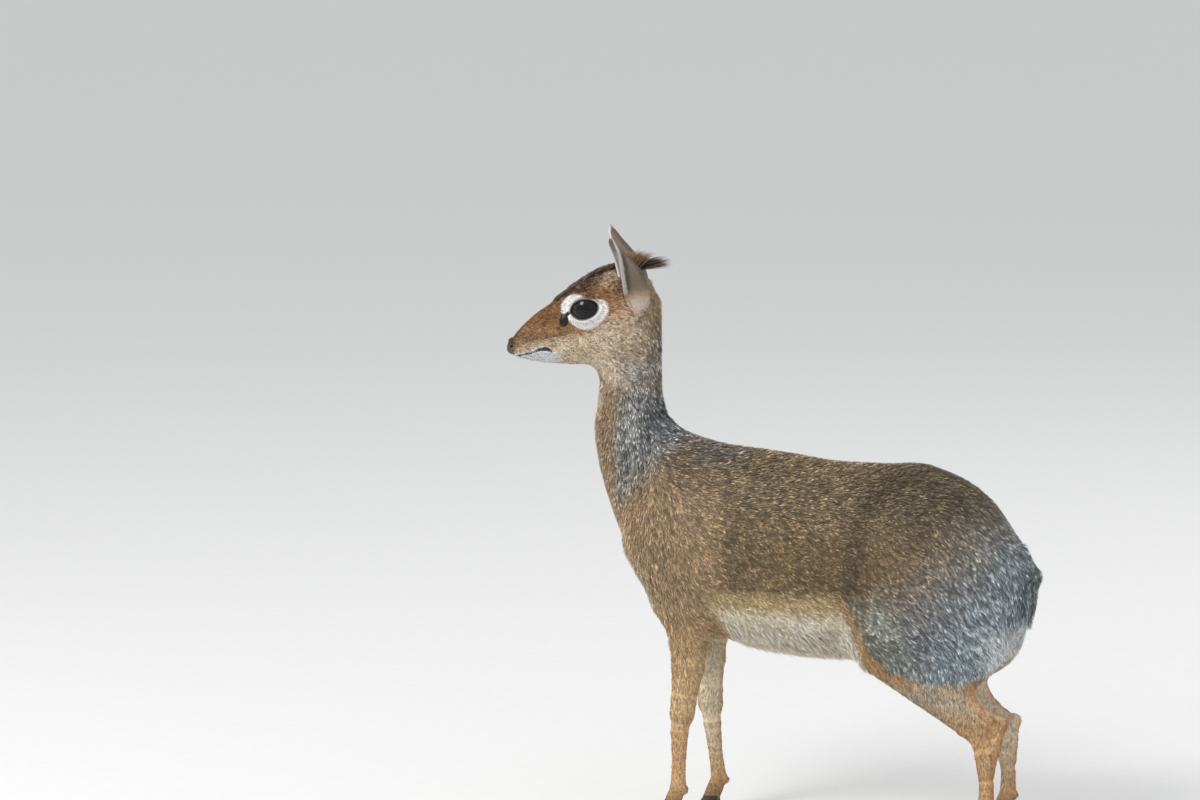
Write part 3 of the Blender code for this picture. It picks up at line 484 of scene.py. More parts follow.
def hind_leg(side):
    """Joints of a hind leg from the knee down. Her right hock is bent more, so lower and further forward."""
    y = side * HIND_SPREAD
    bend = 0.0 if side == LEFT else 1.0
    return (
        ((0.125, side * 0.042, 0.170), 0.0360, 0.62),
        ((0.2050 - 0.006 * bend, y, 0.102 - 0.007 * bend), 0.0195, 0.58),
        ((0.2150 - 0.006 * bend, y, 0.094 - 0.008 * bend), 0.0180, 0.58),
        ((0.2200 + 0.001 * bend, y, 0.068 - 0.004 * bend), 0.0106, 0.72),
        ((0.2225 + 0.002 * bend, y, 0.0380), 0.0077, 0.84),
        ((0.2225 + 0.002 * bend, y, FLOOR + 0.0320), 0.0088, 0.90),
        ((0.2135 + 0.002 * bend, y, FLOOR + 0.0120), 0.0088, 0.98),
    )


def heel(side):
    """The point of the hock and the sinew under it: ends, radii and flatness of each."""
    y = side * HIND_SPREAD
    bend = 0.0 if side == LEFT else 1.0
    root = (0.2150 - 0.006 * bend, y, 0.0990 - 0.008 * bend)
    tip = (0.2370 - 0.007 * bend, y, 0.0985 - 0.009 * bend)
    shank = (0.2232 + 0.002 * bend, y, 0.0520)
    return (root, tip, 0.0150, 0.0066, 0.62), (tip, shank, 0.0066, 0.0078, 0.76)


def chain(points, joints, blend):
    """Rods from each joint to the next, melted together."""
    field = None
    for (start, thick, flat), (end, thin, flat_end) in zip(joints, joints[1:]):
        piece = bone(points, start, end, thick, thin, (flat + flat_end) / 2)
        field = piece if field is None else melt(field, piece, blend)
    return field


def dew_claws(points, joints, side):
    """Two small claws behind the fetlock."""
    x, y, z = joints(side)[-2][0]
    behind, aside, up = DEW_CLAW_PLACE
    pair = [egg(points, (x + behind, y + out * aside, z + up), DEW_CLAW_RADII) for out in (-1, 1)]
    return np.minimum(*pair)


def muscle(points, side, place, radii, lean):
    """An egg of flesh on one side of the body."""
    x, y, z = place
    return egg(points, (x, side * y, z), radii, lean)


def fore_form(points, side):
    leg = chain(points, fore_leg(side), JOINT_BLEND)
    return melt(leg, dew_claws(points, fore_leg, side), BLEND["dew_claw"])


def hind_form(points, side):
    y = side * HIND_SPREAD
    thigh, ham = muscle(points, side, *THIGH), muscle(points, side, *HAM)
    knee = bone(points, (KNEE_BACK[0], y, KNEE_BACK[1]), (KNEE_FRONT[0], y, KNEE_FRONT[1]), *KNEE_SIZES)
    point, sinew = heel(side)
    leg = melt(chain(points, hind_leg(side), JOINT_BLEND), bone(points, *point), BLEND["heel"])
    leg = melt(leg, bone(points, *sinew), BLEND["sinew"])
    leg = melt(leg, dew_claws(points, hind_leg, side), BLEND["dew_claw"])
    return melt(melt(leg, knee, BLEND["knee"]), melt(thigh, ham, BLEND["thigh"]), BLEND["haunch"])


def tail_form(points):
    thick, middle, thin = TAIL_RADII
    dock = bone(points, TAIL_ROOT, TAIL_MIDDLE, thick, middle, TAIL_FLATNESS)
    return melt(dock, bone(points, TAIL_MIDDLE, TAIL_TIP, middle, thin, TAIL_FLATNESS), BLEND["dock"])


def body_form(points):
    """The whole animal at the tips of her coat, without ears, eyes and hooves."""
    trunk = loft(points[:, 0], points[:, 1], points[:, 2], TRUNK, TRUNK_CAP, BODY_POWER, BODY_POWER)
    neck = loft(points[:, 2], points[:, 1], points[:, 0], NECK, NECK_CAP, 2.0, 2.0)
    field = melt(trunk, neck, NECK_BLEND)
    for side in (LEFT, RIGHT):
        field = melt(field, muscle(points, side, *SHOULDER), BLEND["shoulder"])
    fore = np.minimum(fore_form(points, LEFT), fore_form(points, RIGHT))
    hind = np.minimum(hind_form(points, LEFT), hind_form(points, RIGHT))
    field = melt(melt(field, fore, BLEND["fore"]), hind, BLEND["hind"])
    field = melt(field, head_form(points), HEAD_BLEND)
    return melt(field, tail_form(points), BLEND["tail"])


print("joints a foreleg has:", len(fore_leg(LEFT)), "and a hind leg:", len(hind_leg(LEFT)))

# %% [markdown]
# ## From the coat's tips down to the skin
# The solids reach to the tips of the coat. The skin lies deeper by the coat's depth: about 3 mm on the
# trunk, 1 mm on the face and lower legs. Bare edges are added after that step at their true size: lids
# round an almond opening, the gap between the lips and the two slit nostrils.

# %% Coat depth and the bare edges of the face
TRUNK_DEPTH, FACE_DEPTH, LEG_DEPTH, BELLY_DEPTH = 0.0030, 0.0010, 0.0009, 0.0050
EYE_OPENING = (0.0145, 0.0100)  # half length and half height of the opening between the lids
EYE_TURN = 0.20  # how far the eye looks forward, against sideways
EYE_SLANT = 0.24  # how far the tear duct lies below the outer corner, against length
LID_THICKNESS = 0.0013
LID_SKIN = 0.0008
LID_POINTS = 28
LID_EDGE = EYE_RADIUS + 0.0004
CREASE_RADIUS, CREASE_STRETCH, CREASE_HALF = EYE_RADIUS + 0.0016, 1.30, 0.0006
ALMOND = 0.55  # how much lower the opening is at the tear duct
# The line of the mouth, from its corner: place forward, level, half the gap between the lips
MOUTH_LINE = (
    (0.0795, -0.0600, 0.0008),
    (0.0840, -0.0576, 0.0019),
    (0.0890, -0.0574, 0.0018),
    (0.0950, -0.0592, 0.0012),
    (0.1010, -0.0618, 0.0008),
    (0.1080, -0.0636, 0.0007),
    (0.1130, -0.0648, 0.0006),
    (0.1300, -0.0660, 0.0005),
)
MOUTH_DEPTH = 0.0030
NOSTRIL = ((0.1165, 0.0098, -0.0535), (0.1200, 0.0090, -0.0558), (0.1235, 0.0060, -0.0595))
NOSTRIL_RADII = (0.0007, 0.0014, 0.0010)
WING_WIDTH = 0.0007


def face_share(points):
    """1 on the face, 0 on the neck and body."""
    h = into_head(points)
    return soft(-0.020, 0.035, h[:, 0]) * soft(-0.100, -0.078, h[:, 2])


def leg_share(points):
    """1 on the legs below elbow and knee, 0 on the trunk."""
    x, z = points[:, 0], points[:, 2]
    under_belly = soft(-0.060, -0.040, x) * soft(0.120, 0.095, x)
    return soft(0.180, 0.120, z) * (1 - under_belly)


def belly_share(points):
    """1 along the underside between the legs."""
    x, y, z = points.T
    between_legs = soft(-0.065, -0.035, x) * soft(0.105, 0.080, x)
    return between_legs * soft(0.205, 0.165, z) * soft(0.060, 0.045, np.abs(y))


def coat_depth(points):
    face, leg, belly = face_share(points), leg_share(points), belly_share(points)
    depth = TRUNK_DEPTH + (FACE_DEPTH - TRUNK_DEPTH) * face
    depth = depth + (LEG_DEPTH - depth) * leg
    return depth + (BELLY_DEPTH - depth) * belly


def eye_frame(side):
    """Centre of an eye in the head's axes and its own axes: along the opening, up, and out."""
    centre = np.array((EYE_PLACE[0], side * EYE_PLACE[1], EYE_PLACE[2]))
    out = np.array((EYE_TURN, side, 0.04))
    out = out / np.linalg.norm(out)
    along_slit = np.array((1.0, 0.0, -EYE_SLANT))
    along_slit = along_slit - out * (along_slit @ out)
    along_slit = along_slit / np.linalg.norm(along_slit)
    up = np.cross(out, along_slit) * side
    return centre, along_slit, up if up[2] > 0 else -up, out


def lid_curve(side, radius, stretch, count):
    """Points of the lids' edge on a sphere round the eye: an almond, pointed at the tear duct."""
    centre, forward, up, out = eye_frame(side)
    curve = []
    for i in range(count):
        turn = 2 * math.pi * i / count
        u = EYE_OPENING[0] * math.cos(turn) * stretch
        v = EYE_OPENING[1] * math.sin(turn) * stretch
        if u > 0:
            v *= 1 - ALMOND * math.cos(turn) ** 4
        w = math.sqrt(radius**2 - min(u * u + v * v, radius**2 * 0.98))
        curve.append(centre + forward * u + up * v + out * w)
    return curve


def near_line(points, line, closed=False):
    """Distance to a line through a row of points."""
    best = np.full(len(points), 1.0)
    pairs = list(zip(line, line[1:]))
    if closed:
        pairs.append((line[-1], line[0]))
    for start, end in pairs:
        step = np.asarray(end) - np.asarray(start)
        offset = points - np.asarray(start)
        share = np.clip(offset @ step / (step @ step), 0, 1)
        best = np.minimum(best, np.linalg.norm(offset - share[:, None] * step, axis=1))
    return best


def eye_corners(side_points):
    """Place across the opening of the right eye, as shares of its half length and half height."""
    centre, forward, up, out = eye_frame(RIGHT)
    offset = side_points - centre
    far = np.maximum(np.linalg.norm(offset, axis=1), TINY)
    u = offset @ forward / far * EYE_RADIUS / EYE_OPENING[0]
    v = offset @ up / far * EYE_RADIUS / EYE_OPENING[1]
    v = v / np.where(u > 0, 1 - ALMOND * np.clip(u, 0, 1) ** 4, 1.0)
    return u, v, far, offset @ out


def with_lids(field, side_points):
    """Opens the skin over each eyeball and rounds the edges of the lids."""
    field = melt(field, ball_form(side_points) - LID_SKIN, BLEND["lids"])
    u, v, far, out = eye_corners(side_points)
    rim = (np.hypot(u, v) - 0.97) * EYE_OPENING[1]
    opening = np.maximum(np.maximum(rim, 0.012 - far), -out)
    lids = lid_curve(RIGHT, LID_EDGE, 1.0, LID_POINTS)
    edge = near_line(side_points, lids, closed=True) - LID_THICKNESS
    crease_curve = lid_curve(RIGHT, CREASE_RADIUS, CREASE_STRETCH, LID_POINTS)
    upper = [p for p in crease_curve if p[2] > EYE_PLACE[2] - 0.001]
    crease = near_line(side_points, sorted(upper, key=lambda p: p[0])) - CREASE_HALF
    field = carve(field, crease, BLEND["crease"])
    return melt(carve(field, opening, BLEND["opening"]), edge, BLEND["lid_edge"])


def with_mouth(field, form, side_points):
    """Cuts the gap between the lips, MOUTH_DEPTH deep all the way round."""
    level = along(MOUTH_LINE, 1, side_points[:, 0])
    gape = along(MOUTH_LINE, 2, side_points[:, 0])
    corner = (MOUTH_LINE[0][0] - side_points[:, 0]) * 0.5
    slot = np.maximum(np.abs(side_points[:, 2] - level) - gape, corner)
    return carve(field, np.maximum(slot, -form - MOUTH_DEPTH), BLEND["mouth"])


def with_nostrils(field, side_points):
    """Two slanted comma-shaped nostrils with a raised wing round each."""
    places, radii = NOSTRIL, NOSTRIL_RADII
    hole = bone(side_points, places[0], places[1], radii[0], radii[1])
    hole = np.minimum(hole, bone(side_points, places[1], places[2], radii[1], radii[2]))
    field = melt(field, hole - WING_WIDTH, BLEND["wing"])
    return carve(field, hole, BLEND["nostril"])


def skin_form(points):
    """The skin of the whole animal. Negative inside."""
    form = body_form(points) + coat_depth(points)
    h = into_head(points)
    face = (h[:, 0] > 0.018) & (form < 0.012) & (form > -0.012)
    side = fold_sides(h[face])
    here = form[face]
    here = with_lids(here, side)
    here = with_mouth(here, form[face], side)
    form[face] = with_nostrils(here, side)
    return form


print("skin below the tips, on back, face and cannon:", TRUNK_DEPTH, FACE_DEPTH, LEG_DEPTH)

# %% [markdown]
# ## Drawing the skin
# A surface net puts one point in each small cube that the surface crosses and joins neighbours with
# quads, which gives an even, closed mesh. Testing every cube of the box would take minutes, so coarse
# cubes are tested first and only those near the surface are tested finely.

# %% Surface net
NEAR_ENOUGH = 2.2  # distance to the surface, in coarse cubes, within which a coarse cube is tested finely


def sample_grid(field, low, count, cell, stride):
    """Field values on a grid, exact near the surface and only of the right sign elsewhere."""
    blocks = (count - 1) // stride + 1
    axes = [low[i] + cell * stride * np.arange(blocks[i]) for i in range(3)]
    coarse = field(np.stack(np.meshgrid(*axes, indexing="ij"), -1).reshape(-1, 3)).reshape(blocks)
    value = coarse.repeat(stride, 0).repeat(stride, 1).repeat(stride, 2)
    value = value[:count[0], :count[1], :count[2]].copy()
    near = np.argwhere(np.abs(value) < cell * stride * NEAR_ENOUGH)
    value[tuple(near.T)] = field(low + near * cell)
    return value, len(near)


def fill_diagonals(value):
    """Fills a corner wherever two corners of a cube's face meet only across its diagonal."""
    for _ in range(4):
        for axis in range(3):
            u, v = (axis + 1) % 3, (axis + 2) % 3
            corner = {}
            for a in (0, 1):
                for b in (0, 1):
                    cut = [slice(None)] * 3
                    cut[u] = slice(1, None) if a else slice(None, -1)
                    cut[v] = slice(1, None) if b else slice(None, -1)
                    corner[a, b] = value[tuple(cut)]
            for a in (0, 1):
                tangled = (corner[a, 0] < 0) & (corner[1 - a, 1] < 0)
                tangled &= (corner[1 - a, 0] >= 0) & (corner[a, 1] >= 0)
                corner[1 - a, 0][tangled] = -1e-7
    return value


def surface_net(field, low, high, cell, stride=3):
    """Points and quads of the surface where the field is zero inside a box."""
    low = np.array(low)
    count = np.ceil((np.array(high) - low) / cell).astype(int) + 1
    value, tested = sample_grid(field, low, count, cell, stride)
    value = fill_diagonals(value)
    inside = value < 0
    rings, places, outward = [], [], []
    unit = np.eye(3, dtype=int)
    for axis in range(3):
        first, second = [slice(None)] * 3, [slice(None)] * 3
        first[axis], second[axis] = slice(None, -1), slice(1, None)
        crossed = np.argwhere(inside[tuple(first)] != inside[tuple(second)])
        a, b = value[tuple(crossed.T)], value[tuple((crossed + unit[axis]).T)]
        u, v = unit[(axis + 1) % 3], unit[(axis + 2) % 3]
        places.append(low + crossed * cell + (a / (a - b))[:, None] * cell * unit[axis])
        rings.append(np.stack((crossed, crossed - u, crossed - u - v, crossed - v), 1))
        outward.append(a < 0)
    rings, places, outward = np.concatenate(rings), np.concatenate(places), np.concatenate(outward)
    number = (rings[..., 0] * count[1] + rings[..., 1]) * count[2] + rings[..., 2]
    cubes, corner = np.unique(number.reshape(-1), return_inverse=True)
    total = np.stack([np.bincount(corner, np.repeat(places[:, i], 4), len(cubes)) for i in range(3)], 1)
    points = total / np.bincount(corner, minlength=len(cubes))[:, None]
    faces = corner.reshape(-1, 4)
    faces = np.where(outward[:, None], faces, faces[:, ::-1])
    return points, faces, tested


def settle(field, points, rounds=2, reach=0.0002):
    """Moves points onto the surface along the field's slope."""
    for _ in range(rounds):
        here = field(points)
        slope = np.stack([field(points + reach * axis) - here for axis in np.eye(3)], 1) / reach
        size = (slope**2).sum(1)
        points = points - slope * (here / np.maximum(size, 0.25))[:, None]
    return points


test_points, test_faces, cubes_tested = surface_net(
    lambda p: np.linalg.norm(p, axis=1) - 0.1, (-0.15,) * 3, (0.15,) * 3, 0.01)
print("a test ball:", len(test_points), "points,", len(test_faces), "quads,", cubes_tested, "cubes tested")

# %% [markdown]
# ## One skin, finest where the face is
# The trunk needs a point every 2 mm or so, the face twice as many and the rims of eyes, lips and
# nostrils twice as many again. Splitting the quads there, and moving the new points onto the surface,
# keeps everything one closed mesh with no seam between its fine and coarse parts.

# %% Make the skin
SKIN_CELL = 0.0023
SKIN_LOW, SKIN_HIGH = (-0.300, -0.105, FLOOR + 0.004), (0.275, 0.105, 0.570)
CORONET_LEVEL = FLOOR + 0.0135


def mesh_object(name, points, faces, materials=()):
    """A mesh object at the frame's place, from points in the body's own frame."""
    faces = np.asarray(faces)
    mesh = bpy.data.meshes.new(name)
    mesh.vertices.add(len(points))
    mesh.vertices.foreach_set("co", (np.asarray(points) + SHIFT).astype(np.float32).ravel())
    mesh.loops.add(faces.size)
    mesh.loops.foreach_set("vertex_index", faces.astype(np.int32).ravel())
    mesh.polygons.add(len(faces))
    mesh.polygons.foreach_set("loop_start", np.arange(0, faces.size, faces.shape[1], dtype=np.int32))
    mesh.update(calc_edges=True)
    mesh.shade_smooth()
    for material in materials:
        mesh.materials.append(material)
    return add_object(name, mesh)


def read_rows(rows, name, kind=np.float32):
    """Three values for each of a mesh's points or triangles."""
    values = np.zeros(len(rows) * 3, kind)
    rows.foreach_get(name, values)
    return values.reshape(-1, 3)


def points_of(obj):
    """The object's points in the body's own frame."""
    return read_rows(obj.data.vertices, "co").astype(float) - SHIFT


def set_points(obj, points):
    obj.data.vertices.foreach_set("co", (points + SHIFT).astype(np.float32).ravel())
    obj.data.update()


def split_faces(obj, chosen):
    """Splits every quad whose points are all chosen into four."""
    form = bmesh.new()
    form.from_mesh(obj.data)
    edges = [e for e in form.edges if chosen[e.verts[0].index] and chosen[e.verts[1].index]]
    bmesh.ops.subdivide_edges(form, edges=edges, cuts=1, use_grid_fill=True)
    form.to_mesh(obj.data)
    form.free()
    obj.data.shade_smooth()


def fine_places(points):
    """Points near the rims of the eyes, the lips and the nostrils."""
    side = fold_sides(into_head(points))
    rims = near_line(side, lid_curve(RIGHT, EYE_RADIUS, 1.0, LID_POINTS), closed=True) < 0.0050
    lips = np.abs(side[:, 2] - along(MOUTH_LINE, 1, side[:, 0])) < 0.0035
    lips &= side[:, 0] > MOUTH_LINE[0][0] - 0.004
    nose = near_line(side, NOSTRIL) < 0.0055
    return rims | lips | nose


def make_skin():
    points, faces, tested = surface_net(skin_form, SKIN_LOW, SKIN_HIGH, SKIN_CELL)
    skin = mesh_object("skin", settle(skin_form, points), faces)
    points = points_of(skin)
    split_faces(skin, into_head(points)[:, 0] > 0.012)
    set_points(skin, settle(skin_form, points_of(skin)))
    split_faces(skin, fine_places(points_of(skin)))
    set_points(skin, settle(skin_form, points_of(skin)))
    return skin, tested


skin, cubes_tested = make_skin()
print("skin:", len(skin.data.vertices), "points,", len(skin.data.polygons), "faces")
print("cubes tested:", cubes_tested)

# %% [markdown]
# ## Her colours
# Her coat has no drawn pattern: rufous face, grey neck, brown back, ash rump, cream belly and tan legs run
# into one another. Painting a texture would tie the colours to one unwrapping, so they are worked out
# from each point's place on the body instead. The same rule colours the skin and every tuft on it.

# %% Palette
def srgb(red, green, blue):
    """A colour given in 0 to 255 screen values, as linear light."""
    value = np.array((red, green, blue)) / 255
    return np.where(value <= 0.04045, value / 12.92, ((value + 0.055) / 1.055) ** 2.4)


RUFOUS = srgb(144, 104, 70)
RUFOUS_DARK = srgb(120, 86, 60)
CROWN_DARK = srgb(66, 52, 42)
NOSE_DARK = srgb(79, 62, 47)
CHEEK_TAN = srgb(206, 186, 162)
RING_WHITE = srgb(232, 228, 224)
CHIN_WHITE = srgb(228, 230, 232)
CREAM = srgb(236, 226, 204)
THROAT_CREAM = srgb(222, 206, 182)
NECK_GREY = srgb(158, 157, 152)
NECK_TAN = srgb(180, 156, 126)
SHOULDER_TAN = srgb(194, 166, 132)
BACK_BROWN = srgb(150, 131, 103)
FLANK_BROWN = srgb(148, 125, 92)
RUMP_GREY = srgb(167, 179, 188)
RUMP_PALE = srgb(240, 245, 248)
LEG_TAN = srgb(208, 176, 134)
LEG_ORANGE = srgb(202, 148, 98)
BELLY_TAN = srgb(212, 186, 144)
EAR_BROWN = srgb(126, 112, 97)
EAR_GREY = srgb(88, 82, 77)
EAR_PALE = srgb(200, 195, 190)
BARE_BLACK = srgb(28, 25, 25)
# LIP_GREY: partly the lips' own grey, partly painted light against the shade inside the mouth's gap
LIP_GREY = srgb(92, 92, 92)
print("linear rufous:", RUFOUS.round(3), "ash:", RUMP_GREY.round(3))

# %% Marks that have an outline
# Outline of the white eye ring: forward and up in the head
EYE_RING = (
    (0.0715, -0.0150), (0.0702, -0.0100), (0.0655, -0.0052), (0.0590, -0.0018), (0.0525, -0.0008),
    (0.0478, -0.0030), (0.0420, -0.0042), (0.0340, -0.0042), (0.0275, -0.0060), (0.0240, -0.0105),
    (0.0243, -0.0168), (0.0285, -0.0245), (0.0345, -0.0310), (0.0420, -0.0354), (0.0510, -0.0357),
    (0.0588, -0.0318), (0.0628, -0.0272), (0.0700, -0.0220),
)
# Edge of the ash-coloured coat on the hind legs: place along X and its level
HIND_HEM = ((0.060, 0.240), (0.078, 0.225), (0.0876, 0.2066), (0.0986, 0.1798), (0.1065, 0.165),
            (0.124, 0.1505), (0.149, 0.141), (0.174, 0.137), (0.1995, 0.138), (0.228, 0.1466), (0.260, 0.185))
# Where the belly's colour ends against the thigh: levels and places along X
THIGH_FRONT = ((0.140, 0.100), (0.152, 0.101), (0.165, 0.0980), (0.180, 0.0920), (0.207, 0.0815),
               (0.225, 0.073), (0.240, 0.068))
# Line of the painted shade in the fold round the front and top of the thigh: places along X and their levels
FOLD_SHADE_LINE = ((0.0885, 0.230), (0.0915, 0.256), (0.0965, 0.290), (0.107, 0.317), (0.125, 0.335),
              (0.150, 0.3435), (0.202, 0.350))
# Lower edge of the dark forehead: forward and up in the head
FOREHEAD_EDGE = ((0.010, 0.0210), (0.0175, 0.0205), (0.0241, 0.0165), (0.035, 0.0075), (0.0483, 0.0000),
                 (0.062, -0.0055), (0.0724, -0.0100), (0.085, -0.018))
# Where the grey of the neck meets the tan of its front: height and place along X
NECK_FRONT = ((0.300, -0.165), (0.360, -0.1635), (0.420, -0.160), (0.470, -0.1300), (0.520, -0.105))
# Edge between the rufous face and the pale cheek: forward and up in the head
CHEEK_EDGE = ((-0.010, 0.008), (0.000, 0.000), (0.014, -0.011), (0.024, -0.022), (0.047, -0.038),
              (0.087, -0.047), (0.120, -0.056))


def rounded(outline, rounds):
    """An outline with its corners cut off again and again, until it is round."""
    corners = np.array(outline)
    for _ in range(rounds):
        following = np.roll(corners, -1, axis=0)
        near, far = corners * 0.75 + following * 0.25, corners * 0.25 + following * 0.75
        corners = np.stack((near, far), 1).reshape(-1, 2)
    return corners


def inside_outline(u, v, outline):
    """Signed distance to an outline in a plane, positive inside."""
    corners = rounded(outline, 2)
    best = np.full(len(u), 1.0)
    within = np.zeros(len(u), bool)
    for (ax, ay), (bx, by) in zip(corners, np.roll(corners, -1, axis=0)):
        step = np.array((bx - ax, by - ay))
        share = np.clip(((u - ax) * step[0] + (v - ay) * step[1]) / (step @ step), 0, 1)
        best = np.minimum(best, np.hypot(u - ax - share * step[0], v - ay - share * step[1]))
        if ay != by:
            within ^= ((ay > v) != (by > v)) & (u < (bx - ax) * (v - ay) / (by - ay) + ax)
    return np.where(within, best, -best)


def read_edge(edge, at):
    """The second value of an edge's rows, straight between them."""
    return np.interp(at, [row[0] for row in edge], [row[1] for row in edge])


print("middle of the eye lies inside the ring by",
      inside_outline(np.array([0.0457]), np.array([-0.0155]), EYE_RING).round(4), "m")

# %% [markdown]
# Each mark is laid over the ones before it, as a sign painter would: ground first, then the neck, the
# rump and legs, and last the sharp marks of the face. Beside the colour goes the ticking, which says how
# much one hair differs from the next: strong on the grey neck, nearly none on the legs.

# %% Lay the marks
FLECK_SIZE = 0.0021
FLECK_SWING = 6.5


def flecks(points):
    """Light and dark flecks of FLECK_SIZE about 0, mostly within 1, the same at every call."""
    scaled = points / FLECK_SIZE
    corner = np.floor(scaled).astype(np.int64)
    share = scaled - corner
    share = share * share * (3 - 2 * share)
    total = np.zeros(len(points))
    for x, y, z in np.ndindex(2, 2, 2):
        at = corner + (x, y, z)
        mixed = (at[:, 0] * 73856093) ^ (at[:, 1] * 19349663) ^ (at[:, 2] * 83492791)
        mixed = (mixed ^ (mixed >> 13)) * 1274126177 & 0xFFFFFF
        weight = np.abs(1 - x - share[:, 0]) * np.abs(1 - y - share[:, 1]) * np.abs(1 - z - share[:, 2])
        total += weight * (mixed / 0xFFFFFF - 0.5)
    return total * FLECK_SWING


def plain_coat(count, color, ticking):
    """A coat of one colour and ticking, for marks to be laid on."""
    return SimpleNamespace(color=np.tile(color, (count, 1)), ticking=np.full(count, float(ticking)))


def lay(coat, share, mark, ticking):
    """Lays one mark over the coat's colours and ticking, by its share at each point."""
    share = np.clip(share, 0, 1)
    coat.color += (mark - coat.color) * share[:, None]
    coat.ticking += (ticking - coat.ticking) * share


def spot(u, v, middle, size):
    """1 in the middle of a soft spot in a plane, fading over its size each way."""
    return np.exp(-(((u - middle[0]) / size[0]) ** 2 + ((v - middle[1]) / size[1]) ** 2))


def mark_trunk(points, normals, coat):
    x, y, z = points.T
    lay(coat, soft(0.320, 0.255, z), FLANK_BROWN, 0.30)
    shoulder = soft(-0.020, -0.075, x) * soft(0.345, 0.300, z)
    lay(coat, shoulder * 0.85, SHOULDER_TAN, 0.22)
    # Painted shade: a darker band where shade falls in the groove behind the shoulder.
    groove_shade = np.exp(-(((x + 0.036) / 0.009) ** 2)) * soft(0.190, 0.212, z) * soft(0.305, 0.270, z)
    lay(coat, groove_shade * 0.40, FLANK_BROWN * 0.66, 0.34)
    withers = soft(-0.100, -0.075, x) * soft(-0.020, -0.045, x) * soft(0.335, 0.352, z)
    lay(coat, withers * 0.40, RUMP_GREY * 0.45, 0.45)
    dusk = spot(x, z, (0.045, 0.243), (0.050, 0.022))
    lay(coat, dusk * 0.45, FLANK_BROWN * 0.80, 0.30)
    end = np.where(np.abs(y) > 0.040, read_edge(THIGH_FRONT, z), 0.118)
    span = soft(-0.075, -0.050, x) * soft(0.003, -0.007, x - end)
    lay(coat, soft(0.2270, 0.2130, z) * span, BELLY_TAN, 0.20)
    # The cream belly, made 14% lighter than CREAM: the cream is its own, the extra is painted light thrown up
    # from the ground.
    lay(coat, soft(0.2100, 0.1900, z) * span, CREAM * 1.14, 0.16)


def mark_neck(points, normals, coat):
    x, y, z = points.T
    front = x - read_edge(NECK_FRONT, z)
    below = (-(x + 0.136) + (z - 0.304)) * 0.7071
    on_neck = soft(0.000, 0.030, below)
    lay(coat, soft(-0.125, -0.150, x) * soft(0.330, 0.300, z), SHOULDER_TAN * 1.06, 0.16)
    lay(coat, on_neck * soft(-0.060, -0.100, x), NECK_TAN, 0.22)
    grey = soft(-0.007, 0.016, front) * soft(0.520, 0.470, z)
    lay(coat, on_neck * grey, NECK_GREY, 0.52)
    nape = soft(-0.150, -0.125, x) * soft(0.330, 0.385, z)
    lay(coat, on_neck * grey * nape * 0.85, NECK_GREY * (0.50, 0.53, 0.60), 0.52)
    nearer = soft(-0.132, -0.146, x) * soft(0.345, 0.370, z)
    lay(coat, on_neck * grey * nearer * 0.70, NECK_GREY * 1.28, 0.48)
    throat = soft(0.30, 0.85, -normals[:, 0]) * soft(0.380, 0.410, z) * soft(-0.172, -0.180, x)
    lay(coat, throat * 0.8, THROAT_CREAM, 0.06)
    breast = soft(0.20, 1.05, -normals[:, 0]) * soft(0.290, 0.215, z) * soft(0.140, 0.190, z)
    lay(coat, breast * 0.65, CREAM, 0.10)


def mark_rump(points, normals, coat):
    x, y, z = points.T
    grey = (x - 0.130) / 0.115 + (0.260 - z) / 0.105
    top = soft(0.075, 0.150, x) * soft(0.255, 0.325, z)
    lay(coat, top * 0.85, BACK_BROWN * (0.54, 0.59, 0.63), 0.36)
    # Painted shade: the fold round the front and top of the thigh made darker, where shade falls in it.
    fold = near_line(np.stack((x, z), 1), FOLD_SHADE_LINE)
    fold_shade = soft(0.019, 0.001, fold) * soft(0.015, 0.035, np.abs(y))
    lay(coat, fold_shade * 0.80, BACK_BROWN * 0.50, 0.30)
    lay(coat, soft(-0.12, 1.55, grey) * soft(0.080, 0.125, x), RUMP_GREY, 0.44)
    # Painted light: a lighter spot on the back of the haunch, where its surface turns away from the lamps.
    rump_light = spot(x, z, (0.243, 0.247), (0.012, 0.018))
    lay(coat, rump_light * 0.60, RUMP_GREY * 1.25, 0.44)
    # A paler patch low on the front of the thigh: partly its paler hair, partly painted light where the sun
    # falls on it.
    front = spot(x, z, (0.116, 0.195), (0.016, 0.024)) * soft(0.030, 0.045, np.abs(y))
    lay(coat, front * 0.75, RUMP_GREY * (1.35, 1.22, 0.95), 0.34)
    fringe = soft(0.207, 0.230, x) * soft(0.208, 0.182, z) * soft(0.138, 0.152, z)
    lay(coat, fringe * 0.95, RUMP_PALE, 0.32)
    # Painted shade: dark bands in the hollows either side of the tail. The tail itself gets its own
    # grey-brown.
    stripe = soft(0.247, 0.258, x) * soft(0.180, 0.202, z) * soft(0.285, 0.262, z)
    shade_beside_tail = soft(0.012, 0.022, np.abs(y)) * soft(0.058, 0.046, np.abs(y))
    lay(coat, stripe * shade_beside_tail * 0.92, RUMP_GREY * 0.36, 0.40)
    lay(coat, stripe * soft(0.022, 0.012, np.abs(y)) * 0.80, RUMP_GREY * (0.62, 0.58, 0.52), 0.36)
    rear = soft(0.215, 0.245, x) * soft(0.135, 0.150, z) * soft(0.205, 0.175, z)
    lay(coat, rear * soft(0.034, 0.018, np.abs(y)) * 0.85, CHIN_WHITE * 0.92, 0.12)


